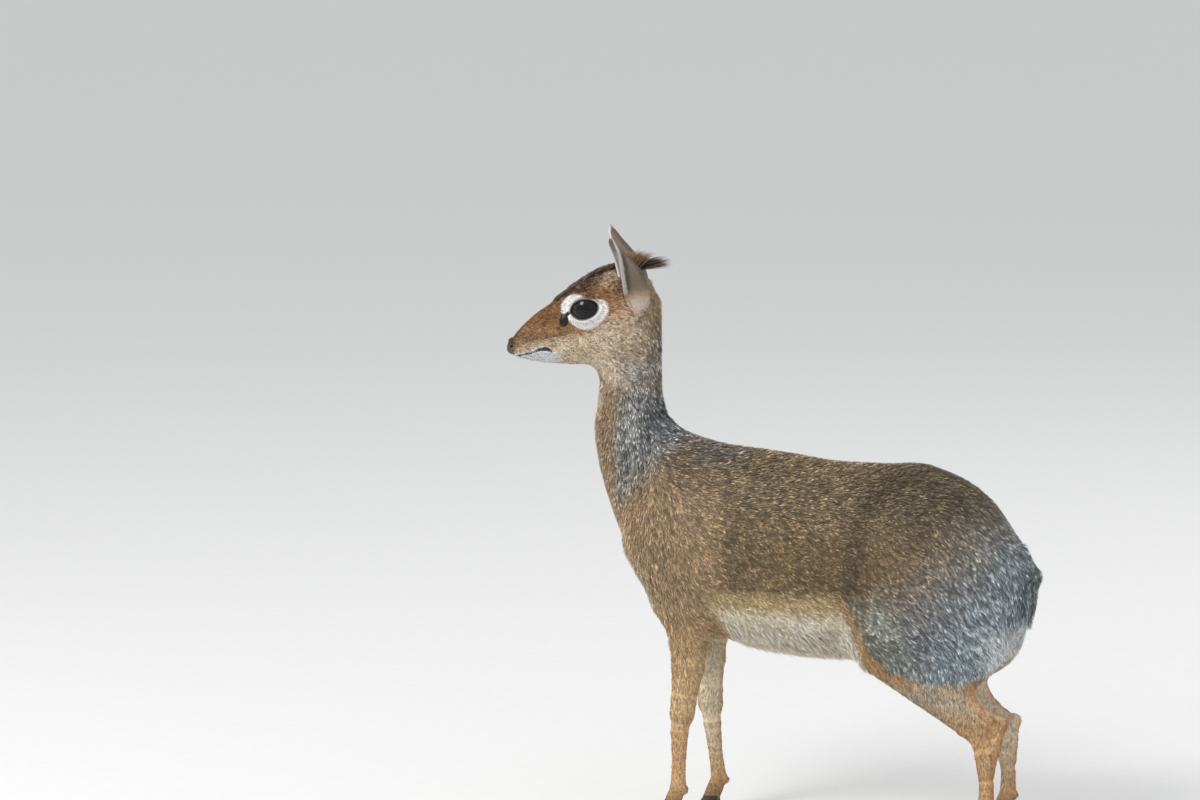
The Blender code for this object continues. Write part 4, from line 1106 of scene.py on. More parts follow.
def mark_legs(points, normals, coat):
    x, y, z = points.T
    under = z - read_edge(HIND_HEM, x) + 0.0016 * flecks(points * 0.4)
    hind = soft(-0.004, 0.002, x - read_edge(THIGH_FRONT, z)) * soft(0.228, 0.212, z)
    above_hem = soft(0.046, 0.012, under) * hind * soft(0.225, 0.200, x)
    tan = soft(0.190, 0.150, x)[:, None] * (-0.03, -0.13, -0.28) + (0.76, 0.76, 0.76)
    lay(coat, above_hem * 0.65, RUMP_GREY * tan, 0.36)
    lay(coat, soft(0.005, -0.006, under) * hind, LEG_TAN * (0.85, 0.88, 0.88), 0.18)
    shin = soft(0.000, -0.010, under) * soft(-0.050, -0.025, under) * soft(0.120, 0.150, x) * hind
    lay(coat, shin * 0.28, RUMP_GREY, 0.26)
    front_edge = soft(0.003, -0.003, under) * soft(-0.014, -0.006, under) * hind * soft(0.165, 0.135, x)
    lay(coat, front_edge * 0.55, LEG_ORANGE, 0.14)
    lay(coat, hind * soft(0.125, 0.090, z) * 0.35, LEG_ORANGE, 0.14)
    heel_edge = hind * soft(0.20, 0.75, normals[:, 0]) * soft(0.155, 0.135, z)
    lay(coat, heel_edge * 0.8, LEG_ORANGE * 0.92, 0.06)
    fore = soft(-0.045, -0.055, x)
    lay(coat, soft(0.212, 0.182, z) * fore, LEG_TAN, 0.16)
    lay(coat, soft(0.100, 0.060, z) * fore * 0.35, LEG_ORANGE, 0.08)
    sleeve = np.exp(-(((z - 0.192 - 0.10 * (x + 0.070)) / 0.0035) ** 2)) * soft(-0.052, -0.060, x)
    lay(coat, sleeve * soft(0.020, 0.030, np.abs(y)) * 0.45, SHOULDER_TAN * 0.60, 0.25)
    inward = soft(0.15, 0.75, -normals[:, 1] * np.sign(y))
    lay(coat, inward * soft(0.215, 0.190, z) * soft(0.010, 0.080, z) * 0.65, CREAM, 0.10)
    pastern = soft(FLOOR + 0.040, FLOOR + 0.018, z)
    lay(coat, pastern * 0.55, RUFOUS_DARK, 0.10)


def mark_face(points, normals, coat):
    forward, side, up = into_head(points).T
    side = np.abs(side)
    head = soft(-0.030, 0.004, forward - 0.35 * (up + 0.030)) * soft(-0.106, -0.084, up)
    nape = soft(-0.012, 0.012, forward)
    lay(coat, head * (0.35 + 0.65 * nape), RUFOUS, 0.30)
    muzzle = head * soft(0.050, 0.066, forward)
    lay(coat, muzzle * 0.85, RUFOUS * (0.76, 0.73, 0.64), 0.32)
    lay(coat, muzzle * soft(-0.026, -0.040, up) * 0.35, CHEEK_TAN * (0.60, 0.50, 0.34), 0.32)
    coat.color *= np.exp(0.09 * flecks(points * 0.50) * head)[:, None]
    over = up - read_edge(FOREHEAD_EDGE, forward)
    forehead = head * soft(-0.0025, 0.0045, over) * soft(0.084, 0.070, forward)
    lay(coat, forehead * 0.88, CROWN_DARK, 0.80)
    temple = spot(forward, up, (0.021, 0.011), (0.012, 0.0065)) * soft(0.010, 0.016, side)
    lay(coat, temple * 0.55, CHEEK_TAN * (1.0, 0.95, 0.90), 0.45)
    by_ear = spot(forward, up, (0.0225, 0.0180), (0.0055, 0.0060)) * soft(0.006, 0.012, side)
    lay(coat, by_ear * 0.60, CHEEK_TAN * (1.0, 0.95, 0.90), 0.45)
    bridge = head * soft(0.009, 0.003, side) * soft(0.070, 0.090, forward) * soft(-0.062, -0.045, up)
    lay(coat, bridge * 0.55, RUFOUS_DARK, 0.20)
    drop = up - read_edge(CHEEK_EDGE, forward)
    cheek = head * soft(0.006, -0.009, drop)
    lay(coat, cheek * 0.92, CHEEK_TAN, 0.32)
    # The jowl's own tan, made lighter as painted light where it curves back, away from the lamps.
    jowl_light = spot(forward, up, (0.005, -0.037), (0.017, 0.019)) * head
    lay(coat, jowl_light * 0.85, CHEEK_TAN * (1.24, 1.20, 1.18), 0.26)
    behind_eye = spot(forward, up, (0.012, -0.015), (0.010, 0.010)) * head
    lay(coat, behind_eye * 0.85, CHEEK_TAN * (1.00, 0.77, 0.55), 0.24)
    lower = head * soft(0.034, 0.056, forward) * soft(-0.045, -0.055, up) * soft(0.004, -0.004, drop)
    lay(coat, lower * 0.75, CHEEK_TAN * (0.94, 0.84, 0.74), 0.28)
    smile = np.abs(drop - 0.002 - 0.03 * (0.080 - forward))
    smile = head * soft(0.0030, 0.0008, smile) * soft(0.062, 0.074, forward)
    lay(coat, smile * 0.40, RUFOUS_DARK, 0.25)
    by_corner = spot(forward, up, (0.069, -0.056), (0.009, 0.006)) * head
    lay(coat, by_corner * 0.45, CREAM, 0.20)
    ear_base = spot(forward, up, (-0.007, -0.0102), (0.0085, 0.0055)) * soft(0.014, 0.020, side)
    lay(coat, ear_base * 0.65, EAR_PALE, 0.20)
    grizzle = head * soft(0.030, -0.004, forward) * soft(-0.055, -0.080, up)
    lay(coat, grizzle * 0.60, NECK_GREY * (0.96, 1.02, 1.12), 0.44)
    jaw = head * soft(0.25, 0.80, -normals @ HEAD_AXES[2]) * soft(-0.055, -0.066, up)
    lay(coat, jaw * 0.45, CREAM, 0.12)
    return forward, side, up


def mark_mouth_and_eye(points, normals, coat):
    forward, side, up = mark_face(points, normals, coat)
    level = along(MOUTH_LINE, 1, np.clip(forward, MOUTH_LINE[0][0], MOUTH_LINE[-1][0]))
    above = up - level
    chin = soft(0.065, 0.081, forward) * soft(0.0006, -0.0006, above)
    lip = soft(0.078, 0.084, forward) * soft(0.0042, 0.0026, above) * soft(-0.001, 0.0006, above)
    lay(coat, np.maximum(chin, lip * 0.9), CHIN_WHITE, 0.04)
    nose = soft(0.1125, 0.1195, forward + 0.12 * (up + 0.055)) * soft(0.0010, 0.0030, above)
    lay(coat, nose * 0.85, NOSE_DARK, 0.22)
    ring = inside_outline(forward, up, EYE_RING)
    on_side = soft(0.010, 0.014, side)
    halo = soft(-0.0040, 0.0000, ring) * on_side
    lay(coat, halo * 0.35, RUFOUS * 1.15, 0.10)
    lay(coat, soft(-0.0007, 0.0009, ring) * on_side, RING_WHITE, 0.04)
    lay(coat, soft(1.12, 0.92, gland_reach(forward, up)) * on_side, BARE_BLACK, 0.0)


def gland_reach(forward, up):
    """Place across the scent gland's bare patch, 1 at its edge."""
    return np.hypot((forward - GLAND_PLACE[0]) / GLAND_RADII[0], (up - GLAND_LEVEL) / GLAND_RADII[1])


def bare_share(points):
    """1 where no hair grows: lids, the tear duct's line, the scent gland, the mouth's gap, the nostrils."""
    h = into_head(points)
    share = np.zeros(len(points))
    close = h[:, 0] > 0.015
    side = fold_sides(h[close])
    edge = lid_curve(RIGHT, LID_EDGE, 1.0, LID_POINTS)
    lids = near_line(side, edge, closed=True)
    duct = near_line(side, [edge[0], np.array((0.0665, GLAND_PLACE[1], -0.0235))])
    gland = np.where(side[:, 1] > 0.010, gland_reach(side[:, 0], side[:, 2]), 9.0)
    level = along(MOUTH_LINE, 1, side[:, 0])
    gape = along(MOUTH_LINE, 2, side[:, 0])
    mouth = np.abs(side[:, 2] - level) - gape
    mouth = np.where(side[:, 0] > MOUTH_LINE[0][0], mouth, 1.0)
    nostril = near_line(side, NOSTRIL) - NOSTRIL_RADII[1]
    parts = (soft(0.0021, 0.0014, lids), soft(0.0031, 0.0022, duct), soft(1.10, 0.95, gland),
             soft(0.0005, 0.0001, mouth), soft(0.0005, 0.0000, nostril) * 0.7)
    share[close] = np.max(parts, axis=0)
    return share


def markings(points, normals):
    """Colour and ticking of the coat at each point."""
    coat = plain_coat(len(points), BACK_BROWN, 0.36)
    for mark in (mark_trunk, mark_neck, mark_rump, mark_legs, mark_mouth_and_eye):
        mark(points, normals, coat)
    return coat.color, coat.ticking


def vertex_normals(obj):
    return read_rows(obj.data.vertex_normals, "vector").astype(float)


def give_color(obj, name, values):
    """Stores a colour for each point of a mesh."""
    layer = obj.data.color_attributes.new(name, "FLOAT_COLOR", "POINT")
    full = np.ones((len(values), 4), np.float32)
    full[:, :3] = values
    layer.data.foreach_set("color", full.ravel())


def give_value(obj, name, values):
    """Stores one number for each point of a mesh."""
    layer = obj.data.attributes.new(name, "FLOAT", "POINT")
    layer.data.foreach_set("value", np.asarray(values, np.float32))


skin_points, skin_normals = points_of(skin), vertex_normals(skin)
skin_color, skin_ticking = markings(skin_points, skin_normals)
skin_bare = bare_share(skin_points)
# Painted light: the mouth's gap gets the lighter LIP_GREY instead of black, against the shade in it.
by_mouth = soft(0.072, 0.078, into_head(skin_points)[:, 0])[:, None]
bare_color = BARE_BLACK + (LIP_GREY - BARE_BLACK) * by_mouth
skin_color += (bare_color - skin_color) * skin_bare[:, None]
give_color(skin, "coat_color", np.clip(skin_color, 0, 1))
give_value(skin, "ticking", skin_ticking * (1 - skin_bare))
give_value(skin, "bare", skin_bare)
print("bare points of the skin:", int((skin_bare > 0.5).sum()), "of", len(skin_points))

# %% [markdown]
# ## Skin under fur
# Between the tufts the short under-fur shows, so the skin isn't smooth: a fine grain stands for the nap
# and mottles the colour by as much as the ticking asks. Bare lids, lips and the gland are smooth and moist
# instead, so the same material turns glossy there.

# %% Skin material
NAP_SCALE = 620.0
NAP_HEIGHT = 0.0008
MOTTLE_SCALE = 380.0
MOTTLE_SWING = 5.0
FUR_ROUGHNESS, BARE_SMOOTHER = 0.88, 0.55  # how rough the skin is under fur, and how much less where bare


def attribute_node(tree, name):
    node = tree.nodes.new("ShaderNodeAttribute")
    node.attribute_name = name
    return node


def math_node(tree, operation, a, b):
    """A math node; a and b are numbers or sockets."""
    node = tree.nodes.new("ShaderNodeMath")
    node.operation = operation
    for socket, value in zip(node.inputs, (a, b)):
        if isinstance(value, (int, float)):
            socket.default_value = value
        else:
            tree.links.new(value, socket)
    return node.outputs[0]


def mottled(tree, color, noise, amount):
    """The colour made lighter and darker by a noise around its middle, by the amount."""
    swing = math_node(tree, "MULTIPLY", math_node(tree, "SUBTRACT", noise, 0.5), MOTTLE_SWING)
    factor = math_node(tree, "ADD", math_node(tree, "MULTIPLY", swing, amount), 1.0)
    factor = math_node(tree, "MAXIMUM", factor, 0.2)
    scale = tree.nodes.new("ShaderNodeVectorMath")
    scale.operation = "SCALE"
    tree.links.new(color, scale.inputs[0])
    tree.links.new(factor, scale.inputs["Scale"])
    return scale.outputs[0]


def make_skin_material():
    material, shader, tree = plain_material("skin_under_fur", BACK_BROWN, {"Specular IOR Level": 0.25})
    color, ticking, bare = (attribute_node(tree, name) for name in ("coat_color", "ticking", "bare"))
    mottle = add_noise(tree, MOTTLE_SCALE, 1.5)
    tinted = mottled(tree, color.outputs["Color"], mottle.outputs["Fac"], ticking.outputs["Fac"])
    tree.links.new(tinted, shader.inputs["Base Color"])
    gloss = math_node(tree, "MULTIPLY_ADD", bare.outputs["Fac"], -BARE_SMOOTHER)
    gloss.node.inputs[2].default_value = FUR_ROUGHNESS
    tree.links.new(gloss, shader.inputs["Roughness"])
    nap = add_noise(tree, NAP_SCALE, 3.0, 0.6)
    haired = math_node(tree, "SUBTRACT", 1.15, bare.outputs["Fac"])
    depth = math_node(tree, "MULTIPLY", nap.outputs["Fac"], haired)
    add_bump(tree, shader, depth, 0.55, NAP_HEIGHT)
    return material


skin.data.materials.append(make_skin_material())
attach(skin, "root")
LEGS = ("leg_fore_left", "leg_fore_right", "leg_hind_left", "leg_hind_right")
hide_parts("head", "neck", "torso", "tail", *LEGS)
print("skin material nodes:", len(skin.data.materials[0].node_tree.nodes))

# %% [markdown]
# ## The lie of the coat
# Hair isn't combed at random. On the face it runs back from the nose, on the neck and legs straight down,
# along the back towards the tail, and over the rump it turns down to the hocks. A smooth field of
# directions gives every tuft its heading, laid flat on the skin under it.

# %% Directions of the hair
FACE_LIE = HEAD_AXES.T @ np.array((-1.0, 0.0, -0.10))
JAW_LIE = HEAD_AXES.T @ np.array((-1.0, 0.0, -0.45))
NECK_LIE = np.array((0.10, 0.0, -1.0))
CHEST_LIE = np.array((0.35, 0.0, -1.0))
BACK_LIE = np.array((1.0, 0.0, -0.12))
FLANK_LIE = np.array((1.0, 0.0, -0.45))
BELLY_LIE = np.array((0.75, 0.0, -0.80))
RUMP_LIE = np.array((0.65, 0.0, -0.85))
LEG_LIE = np.array((0.06, 0.0, -1.0))
TAIL_LIE = np.array((-0.05, 0.0, -1.0))


def unit_rows(vectors):
    """Each row made one unit long."""
    return vectors / np.maximum(np.linalg.norm(vectors, axis=1), TINY)[:, None]


def steer(heading, share, target):
    """Turns the headings towards a target by a share for each point."""
    heading += (target / np.linalg.norm(target) - heading) * np.clip(share, 0, 1)[:, None]


def lay_flat(heading, normals):
    """Headings laid into the surface, one unit long."""
    return unit_rows(heading - normals * (heading * normals).sum(1)[:, None])


def lie_of_coat(points, normals):
    x, y, z = points.T
    forward, side, up = into_head(points).T
    heading = np.tile(BACK_LIE / np.linalg.norm(BACK_LIE), (len(points), 1))
    steer(heading, soft(0.330, 0.260, z), FLANK_LIE)
    steer(heading, soft(-0.040, -0.110, x) * soft(0.360, 0.290, z), CHEST_LIE)
    steer(heading, soft(-0.095, -0.130, x) * soft(0.290, 0.330, z), NECK_LIE)
    steer(heading, soft(0.130, 0.215, x) * soft(0.345, 0.280, z), RUMP_LIE)
    steer(heading, belly_share(points), BELLY_LIE)
    steer(heading, leg_share(points), LEG_LIE)
    steer(heading, soft(0.232, 0.246, x) * soft(0.275, 0.255, z), TAIL_LIE)
    steer(heading, soft(-0.035, 0.015, forward) * soft(-0.100, -0.070, up), FACE_LIE)
    on_jaw = soft(-0.010, 0.040, forward) * soft(-0.045, -0.065, up) * soft(-0.100, -0.080, up)
    steer(heading, on_jaw, JAW_LIE)
    return lay_flat(heading, normals)


print("heading on the middle of the back:",
      lie_of_coat(np.array([[0.05, 0.0, 0.348]]), np.array([[0.0, 0.0, 1.0]])).round(2))

# %% [markdown]
# Lengths change as smoothly as headings do. Face and feet have the shortest, finest tufts, the belly and
# the edge of the rump the longest. Each row below says where a size holds, and the rows are laid over
# each other like the marks.

# %% Sizes of the tufts
# length, width, how far one is from the next
TRUNK_TUFT = np.array((0.0078, 0.00120, 0.00195))
NECK_TUFT = np.array((0.0072, 0.00100, 0.00175))
CHEEK_TUFT = np.array((0.0048, 0.00070, 0.00135))
FACE_TUFT = np.array((0.0034, 0.00052, 0.00108))
BELLY_TUFT = np.array((0.0140, 0.00120, 0.00200))
RUMP_TUFT = np.array((0.0088, 0.00120, 0.00190))
LEG_TUFT = np.array((0.0056, 0.00080, 0.00155))
FOOT_TUFT = np.array((0.0034, 0.00060, 0.00125))
TAIL_TUFT = np.array((0.0068, 0.00100, 0.00150))


def tuft_sizes(points):
    """Length, width and distance of the tufts at each point."""
    x, y, z = points.T
    forward, side, up = into_head(points).T
    face = face_share(points)
    layers = (
        (soft(-0.080, -0.120, x) * soft(0.280, 0.320, z), NECK_TUFT),
        (soft(0.150, 0.220, x) * soft(0.300, 0.230, z), RUMP_TUFT),
        (belly_share(points), BELLY_TUFT),
        (leg_share(points), LEG_TUFT),
        (soft(0.050, 0.020, z), FOOT_TUFT),
        (soft(-0.040, 0.010, forward) * soft(-0.110, -0.080, up), CHEEK_TUFT),
        (face * soft(0.010, 0.040, forward), FACE_TUFT),
    )
    sizes = np.tile(TRUNK_TUFT, (len(points), 1))
    for share, size in layers:
        sizes += (size - sizes) * np.clip(share, 0, 1)[:, None]
    on_tail = tail_form(points) < 0.004
    sizes[on_tail] = TAIL_TUFT
    return sizes


print("tuft on the nose:", tuft_sizes(out_of_head([[0.10, 0.0, -0.03]]))[0].round(5))

# %% [markdown]
# ## Sowing the roots
# Roots drawn wholly at random leave bald spots and heaps. Walking over the skin's triangles and dropping
# a root each time enough area has passed keeps them even, and the random place inside the triangle keeps
# them from forming rows.

# %% Roots on the skin
SEED = 11


def triangles_of(obj):
    obj.data.calc_loop_triangles()
    return read_rows(obj.data.loop_triangles, "vertices", np.int32)


def sow(points, normals, corners, distance, draw):
    """Even roots over triangles, about this far apart: places and normals."""
    a, b, c = (points[corners[:, i]] for i in range(3))
    area = np.linalg.norm(np.cross(b - a, c - a), axis=1) / 2
    need = np.cumsum(area / distance[corners].mean(1) ** 2)
    count = int(need[-1])
    chosen = np.searchsorted(need, (np.arange(count) + draw.random(count)) * need[-1] / count)
    chosen = np.minimum(chosen, len(corners) - 1)
    u, v = draw.random(count), draw.random(count)
    flip = u + v > 1
    u[flip], v[flip] = 1 - u[flip], 1 - v[flip]
    weights = np.stack((1 - u - v, u, v), 1)[..., None]
    places = (points[corners[chosen]] * weights).sum(1)
    facing = (normals[corners[chosen]] * weights).sum(1)
    return places, unit_rows(facing)


def distances_for(points):
    spread = tuft_sizes(points)[:, 2]
    return spread * 1.0


draw = np.random.default_rng(SEED)
roots, root_normals = sow(skin_points, skin_normals, triangles_of(skin), distances_for(skin_points), draw)
haired = (bare_share(roots) < 0.30) & (roots[:, 2] > CORONET_LEVEL + 0.0005)
roots, root_normals = roots[haired], root_normals[haired]
print("roots:", len(roots))

# %% [markdown]
# ## One tuft
# A tuft is a closed blade with three sides, wider in the middle, bending down to its point. Three sides
# are the fewest that still look like a lock from any angle, and a closed form survives export, which
# hair curves don't. All tufts of a region are written into one mesh in a few array steps.

# %% Blades
ROOT_SINK = 0.0004
BLADE_START, BLADE_SWELL, BLADE_TAPER = 0.36, 0.42, 0.70  # half width from root to tip, against the width
BLADE_RIDGE = 0.75  # how high its third edge stands, against the half width
TICK_GAIN, TICK_LEAST, TICK_CHANCE = 1.3, 0.04, 0.65
TICK_LOW, TICK_HIGH = -2.2, 2.4
TICK_SHADE = 0.20  # how much darker ticked hair is as a whole
WARMTH = 0.05  # how far one hair is warmer than the next
BAND_LEAST, BAND_SWELL = 0.55, 2.6
PATCH = 0.0030  # how wide a tuft lies on the unwrapped skin


def blade_faces(count, steps):
    """Triangles of closed three-sided blades with this many steps from root to tip."""
    faces = []
    for k in range(steps - 1):
        left, right, top = 3 * k, 3 * k + 1, 3 * k + 2
        for a, b in ((top, left), (left, right), (right, top)):
            faces += [(a, a + 3, b + 3), (a, b + 3, b)]
    left, right, top, tip = 3 * steps - 3, 3 * steps - 2, 3 * steps - 1, 3 * steps
    faces += [(top, tip, left), (left, tip, right), (right, tip, top), (2, 0, 1)]
    stride = 3 * steps + 1
    return (np.array(faces)[None] + stride * np.arange(count)[:, None, None]).reshape(-1, 3)


def grow_blades(roots, normals, headings, length, width, lift, curl, steps):
    """Points of blades: they rise by lift from the skin and bend back by curl towards the tip, in radians."""
    across = np.cross(normals, headings)
    place = roots - normals * ROOT_SINK
    rings = []
    for k in range(steps + 1):
        share = k / steps
        angle = (lift - curl * share)[:, None]
        heading = headings * np.cos(angle) + normals * np.sin(angle)
        up = normals * np.cos(angle) - headings * np.sin(angle)
        half = (width * (BLADE_START + BLADE_SWELL * share - BLADE_TAPER * share**2))[:, None]
        if k < steps:
            rings += [place + across * half, place - across * half, place + up * half * BLADE_RIDGE]
        else:
            rings.append(place)
        place = place + heading * (length / steps)[:, None]
    return np.stack(rings, 1)


def blade_colors(color, ticking, draw, steps, shade=0.30, tip=0.4, fleck=0.0):
    """Colour along each blade: dark at the root, with a light or dark tick as a band round its middle."""
    count = len(color)
    spread = ticking * TICK_GAIN + TICK_LEAST
    tick = np.clip(draw.normal(0, TICK_CHANCE, count) + fleck, TICK_LOW, TICK_HIGH) * spread
    own = color * np.exp(-TICK_SHADE * spread)[:, None]
    warm = draw.normal(0, WARMTH, count) * (0.3 + ticking)
    own = own * np.stack((1 + warm, np.ones(count), 1 - warm), 1)
    rings = []
    for k in range(steps + 1):
        share = k / steps
        band = BAND_LEAST + BAND_SWELL * share * (1 - share) - tip * share
        level = (1 - shade * (1 - share) ** 2) * np.exp(band * tick)
        rings += [own * level[:, None]] * (3 if k < steps else 1)
    return np.clip(np.stack(rings, 1), 0, 1)


def blade_object(name, points, faces, colors, patches, material):
    """One mesh of blades with their colours and their places on the unwrapped skin."""
    stride = points.shape[1]
    obj = mesh_object(name, points.reshape(-1, 3), faces, [material])
    give_color(obj, "coat_color", colors.reshape(-1, 3))
    steps = (stride - 1) // 3
    step = np.minimum(np.arange(stride) // 3, steps) / steps
    aside = np.array([(1, -1, 0)[i % 3] if i < stride - 1 else 0 for i in range(stride)])
    offset = np.stack((aside * PATCH / 2, (step - 0.5) * PATCH), 1)
    places = (patches[:, None] + offset[None]).reshape(-1, 2)
    layer = obj.data.uv_layers.new(name="OFBake")
    layer.data.foreach_set("uv", places[faces.reshape(-1)].astype(np.float32).ravel())
    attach(obj, "root")
    return obj


print("triangles in a tuft of two steps:", len(blade_faces(1, 2)))

# %% [markdown]
# ## The coat, region by region
# Each region of the coat is a piece of its own. Its tufts are placed on a simple unrolling of the skin
# under them: the angle round the region's own axis runs one way and the way along the axis the other,
# so that neighbours on the body are neighbours there too.

# %% Regions of the coat and how each unrolls
# region: start and end of its axis, and which way is zero round it
AXES = {
    "face": (out_of_head((-0.060, 0.0, -0.030)), out_of_head((0.130, 0.0, -0.050))),
    "neck": (np.array((-0.135, 0.0, 0.300)), np.array((-0.150, 0.0, 0.500))),
    "chest": (np.array((-0.100, 0.0, 0.130)), np.array((-0.100, 0.0, 0.400))),
    "barrel": (np.array((-0.060, 0.0, 0.250)), np.array((0.110, 0.0, 0.250))),
    "haunch": (np.array((0.090, 0.0, 0.250)), np.array((0.270, 0.0, 0.250))),
    "tail": (np.array((0.2545, 0.0, 0.180)), np.array((0.2545, 0.0, 0.280))),
}
LEG_ROWS = {"legs_fore": (fore_leg, 0.200), "legs_hind": (hind_leg, 0.180)}


def unroll(points, start, end):
    """Share round an axis and share along it."""
    axis = (end - start) / np.linalg.norm(end - start)
    side = np.array((0.0, 1.0, 0.0)) - axis * axis[1]
    side = side / np.linalg.norm(side)
    other = np.cross(axis, side)
    offset = points - start
    turn = np.arctan2(offset @ side, offset @ other) / (2 * math.pi) + 0.5
    run = offset @ axis / np.linalg.norm(end - start)
    return np.clip(np.stack((turn, run), 1), 0.0, 1.0) * 0.98 + 0.01


def unroll_legs(points, joints, top):
    """Both legs of a pair side by side, each unrolled round its own middle line."""
    patches = np.zeros((len(points), 2))
    for column, side in enumerate((LEFT, RIGHT)):
        mine = np.sign(points[:, 1]) == side
        places = np.array([row[0] for row in joints(side)])[::-1]
        x = np.interp(points[mine, 2], places[:, 2], places[:, 0])
        turn = np.arctan2(points[mine, 1] - places[0, 1], points[mine, 0] - x) / (2 * math.pi) + 0.5
        run = (points[mine, 2] - FLOOR) / (top - FLOOR)
        patches[mine] = np.stack(((column + 0.01 + 0.98 * turn) / 2, np.clip(run, 0, 1) * 0.98 + 0.01), 1)
    return patches


def region_of(points):
    """The name of each point's region."""
    x, y, z = points.T
    forward, side, up = into_head(points).T
    name = np.where(x < -0.045, "chest", np.where(x < 0.098, "barrel", "haunch")).astype(object)
    name[((points - NECK_FOOT_PLACE) @ NECK_FOOT_NORMAL > -0.045) & (x < -0.060)] = "neck"
    on_face = (forward > -0.020) & (up > -0.095) & (z > 0.400)
    name[on_face] = "face"
    name = name + np.where(np.where(on_face, side, y) < 0, "_left", "_right")
    name[(z < 0.190) & (x < -0.050)] = "legs_fore"
    name[(z < read_edge(HIND_HEM, x) + 0.004) & (x > 0.060) & (z < 0.175)] = "legs_hind"
    name[tail_form(points) < 0.004] = "tail"
    return name


regions = region_of(roots)
print({name: int((regions == name).sum()) for name in sorted(set(regions))})

# %% [markdown]
# Now the coat itself. The lift of each tuft follows from its length and from how deep the skin lies under
# the coat's outline there, so the tips end where the solids do and never stand up like bristles.

# %% Grow the coat
TUFT_STEPS = 2
LIFT_SHARE = 1.15  # how far the middle of a tuft's arc rises, against the coat's depth
TURN_SPREAD = 0.21
BELLY_LIFT = 0.35
# least and most of each measure, against its usual value
LENGTH_SPREAD, WIDTH_SPREAD, LIFT_SPREAD, BELLY_SPREAD = (0.78, 1.22), (0.80, 1.25), (0.75, 1.30), (0.2, 1.0)
STEEPEST = 0.8  # sine of the steepest rise of a tuft
TUFT_CURL = 0.9
SHOWING_SHARE = 0.6  # how far along a tuft the part lies that shows, where its fleck is read
STRAND_SCALE = 1500.0
STRAND_HEIGHT = 0.0004
COAT_FINISH = {"Roughness": 0.72, "Specular IOR Level": 0.30, "Sheen Weight": 0.12, "Sheen Roughness": 0.45}


def make_coat_material():
    material, shader, tree = plain_material("coat_hair", BACK_BROWN, COAT_FINISH)
    color = attribute_node(tree, "coat_color")
    strands = add_noise(tree, STRAND_SCALE, 2.0, 0.6)
    tinted = mottled(tree, color.outputs["Color"], strands.outputs["Fac"], 0.16)
    tree.links.new(tinted, shader.inputs["Base Color"])
    add_bump(tree, shader, strands.outputs["Fac"], 0.35, STRAND_HEIGHT)
    return material


def tuft_shapes(points, normals, draw):
    """Heading, length, width and lift of the tuft at each root."""
    count = len(points)
    heading = lie_of_coat(points, normals)
    turn = draw.normal(0, TURN_SPREAD, count)[:, None]
    heading = lay_flat(heading * np.cos(turn) + np.cross(normals, heading) * np.sin(turn), normals)
    sizes = tuft_sizes(points)
    length = sizes[:, 0] * draw.uniform(*LENGTH_SPREAD, count)
    width = sizes[:, 1] * draw.uniform(*WIDTH_SPREAD, count)
    lift = np.arcsin(np.clip(coat_depth(points) * LIFT_SHARE / length, 0, STEEPEST))
    lift = lift + belly_share(points) * BELLY_LIFT * draw.uniform(*BELLY_SPREAD, count)
    return heading, length, width, lift * draw.uniform(*LIFT_SPREAD, count)


def patches_for(name, points):
    if name in LEG_ROWS:
        return unroll_legs(points, *LEG_ROWS[name])
    return unroll(points, *AXES[name.split("_")[0]])


def grow_coat(name, points, normals, material):
    heading, length, width, lift = tuft_shapes(points, normals, draw)
    blades = grow_blades(points, normals, heading, length, width, lift, lift * TUFT_CURL, TUFT_STEPS)
    color, ticking = markings(points, normals)
    showing = points + heading * length[:, None] * SHOWING_SHARE
    colors = blade_colors(color, ticking, draw, TUFT_STEPS, fleck=flecks(showing))
    faces = blade_faces(len(points), TUFT_STEPS)
    return blade_object("coat_" + name, blades, faces, colors, patches_for(name, points), material)


coat_material = make_coat_material()
for name in sorted(set(regions)):
    here = regions == name
    piece = grow_coat(name, roots[here], root_normals[here], coat_material)
    print(piece.name, "tufts:", int(here.sum()), "triangles:", len(piece.data.polygons))

# %% [markdown]
# ## Eyes
# A dik-dik's eye is large, nearly black and always wet. The ball stays a ball, as the solid has it, but
# gets enough faces for a clean highlight, a dark brown iris round a wide pupil that lies level, and a
# clear coat over all, which is what makes an eye look alive.

# %% Eyeballs
EYE_RINGS, EYE_COLUMNS = 40, 64
PUPIL = (0.0072, 0.0054)
IRIS_RADIUS, IRIS_EDGE = 0.0120, 0.0006
IRIS_FIBRES = 900.0
EYE_FINISH = {"Roughness": 0.22, "Specular IOR Level": 0.05,
              "Coat Weight": 1.0, "Coat Roughness": 0.02, "Coat IOR": 1.34}
IRIS_BROWN = srgb(24, 17, 14)
EYE_WHITE = srgb(16, 14, 14)
PUPIL_BLACK = srgb(6, 6, 8)


def grid_quads(rows, columns, closed=False):
    """Quads of a grid of points; closed joins the last column to the first."""
    width = columns if closed else columns + 1
    row, column = (index.ravel() for index in np.indices((rows, columns)))
    beside = (column + 1) % width
    low, high = row * width, (row + 1) * width
    return np.stack((low + column, low + beside, high + beside, high + column), 1)


def ball_points(rings, columns):
    """Points on a ball of radius 1 about its own axes, and its quads, open at each pole."""
    tilt = (np.arange(rings) + 0.5) / rings * math.pi
    turn = np.arange(columns) / columns * 2 * math.pi
    points = np.stack((np.outer(np.sin(tilt), np.cos(turn)), np.outer(np.sin(tilt), np.sin(turn)),
                       np.outer(np.cos(tilt), np.ones(columns))), -1).reshape(-1, 3)
    return points, grid_quads(rings - 1, columns, True)[:, [0, 3, 2, 1]]


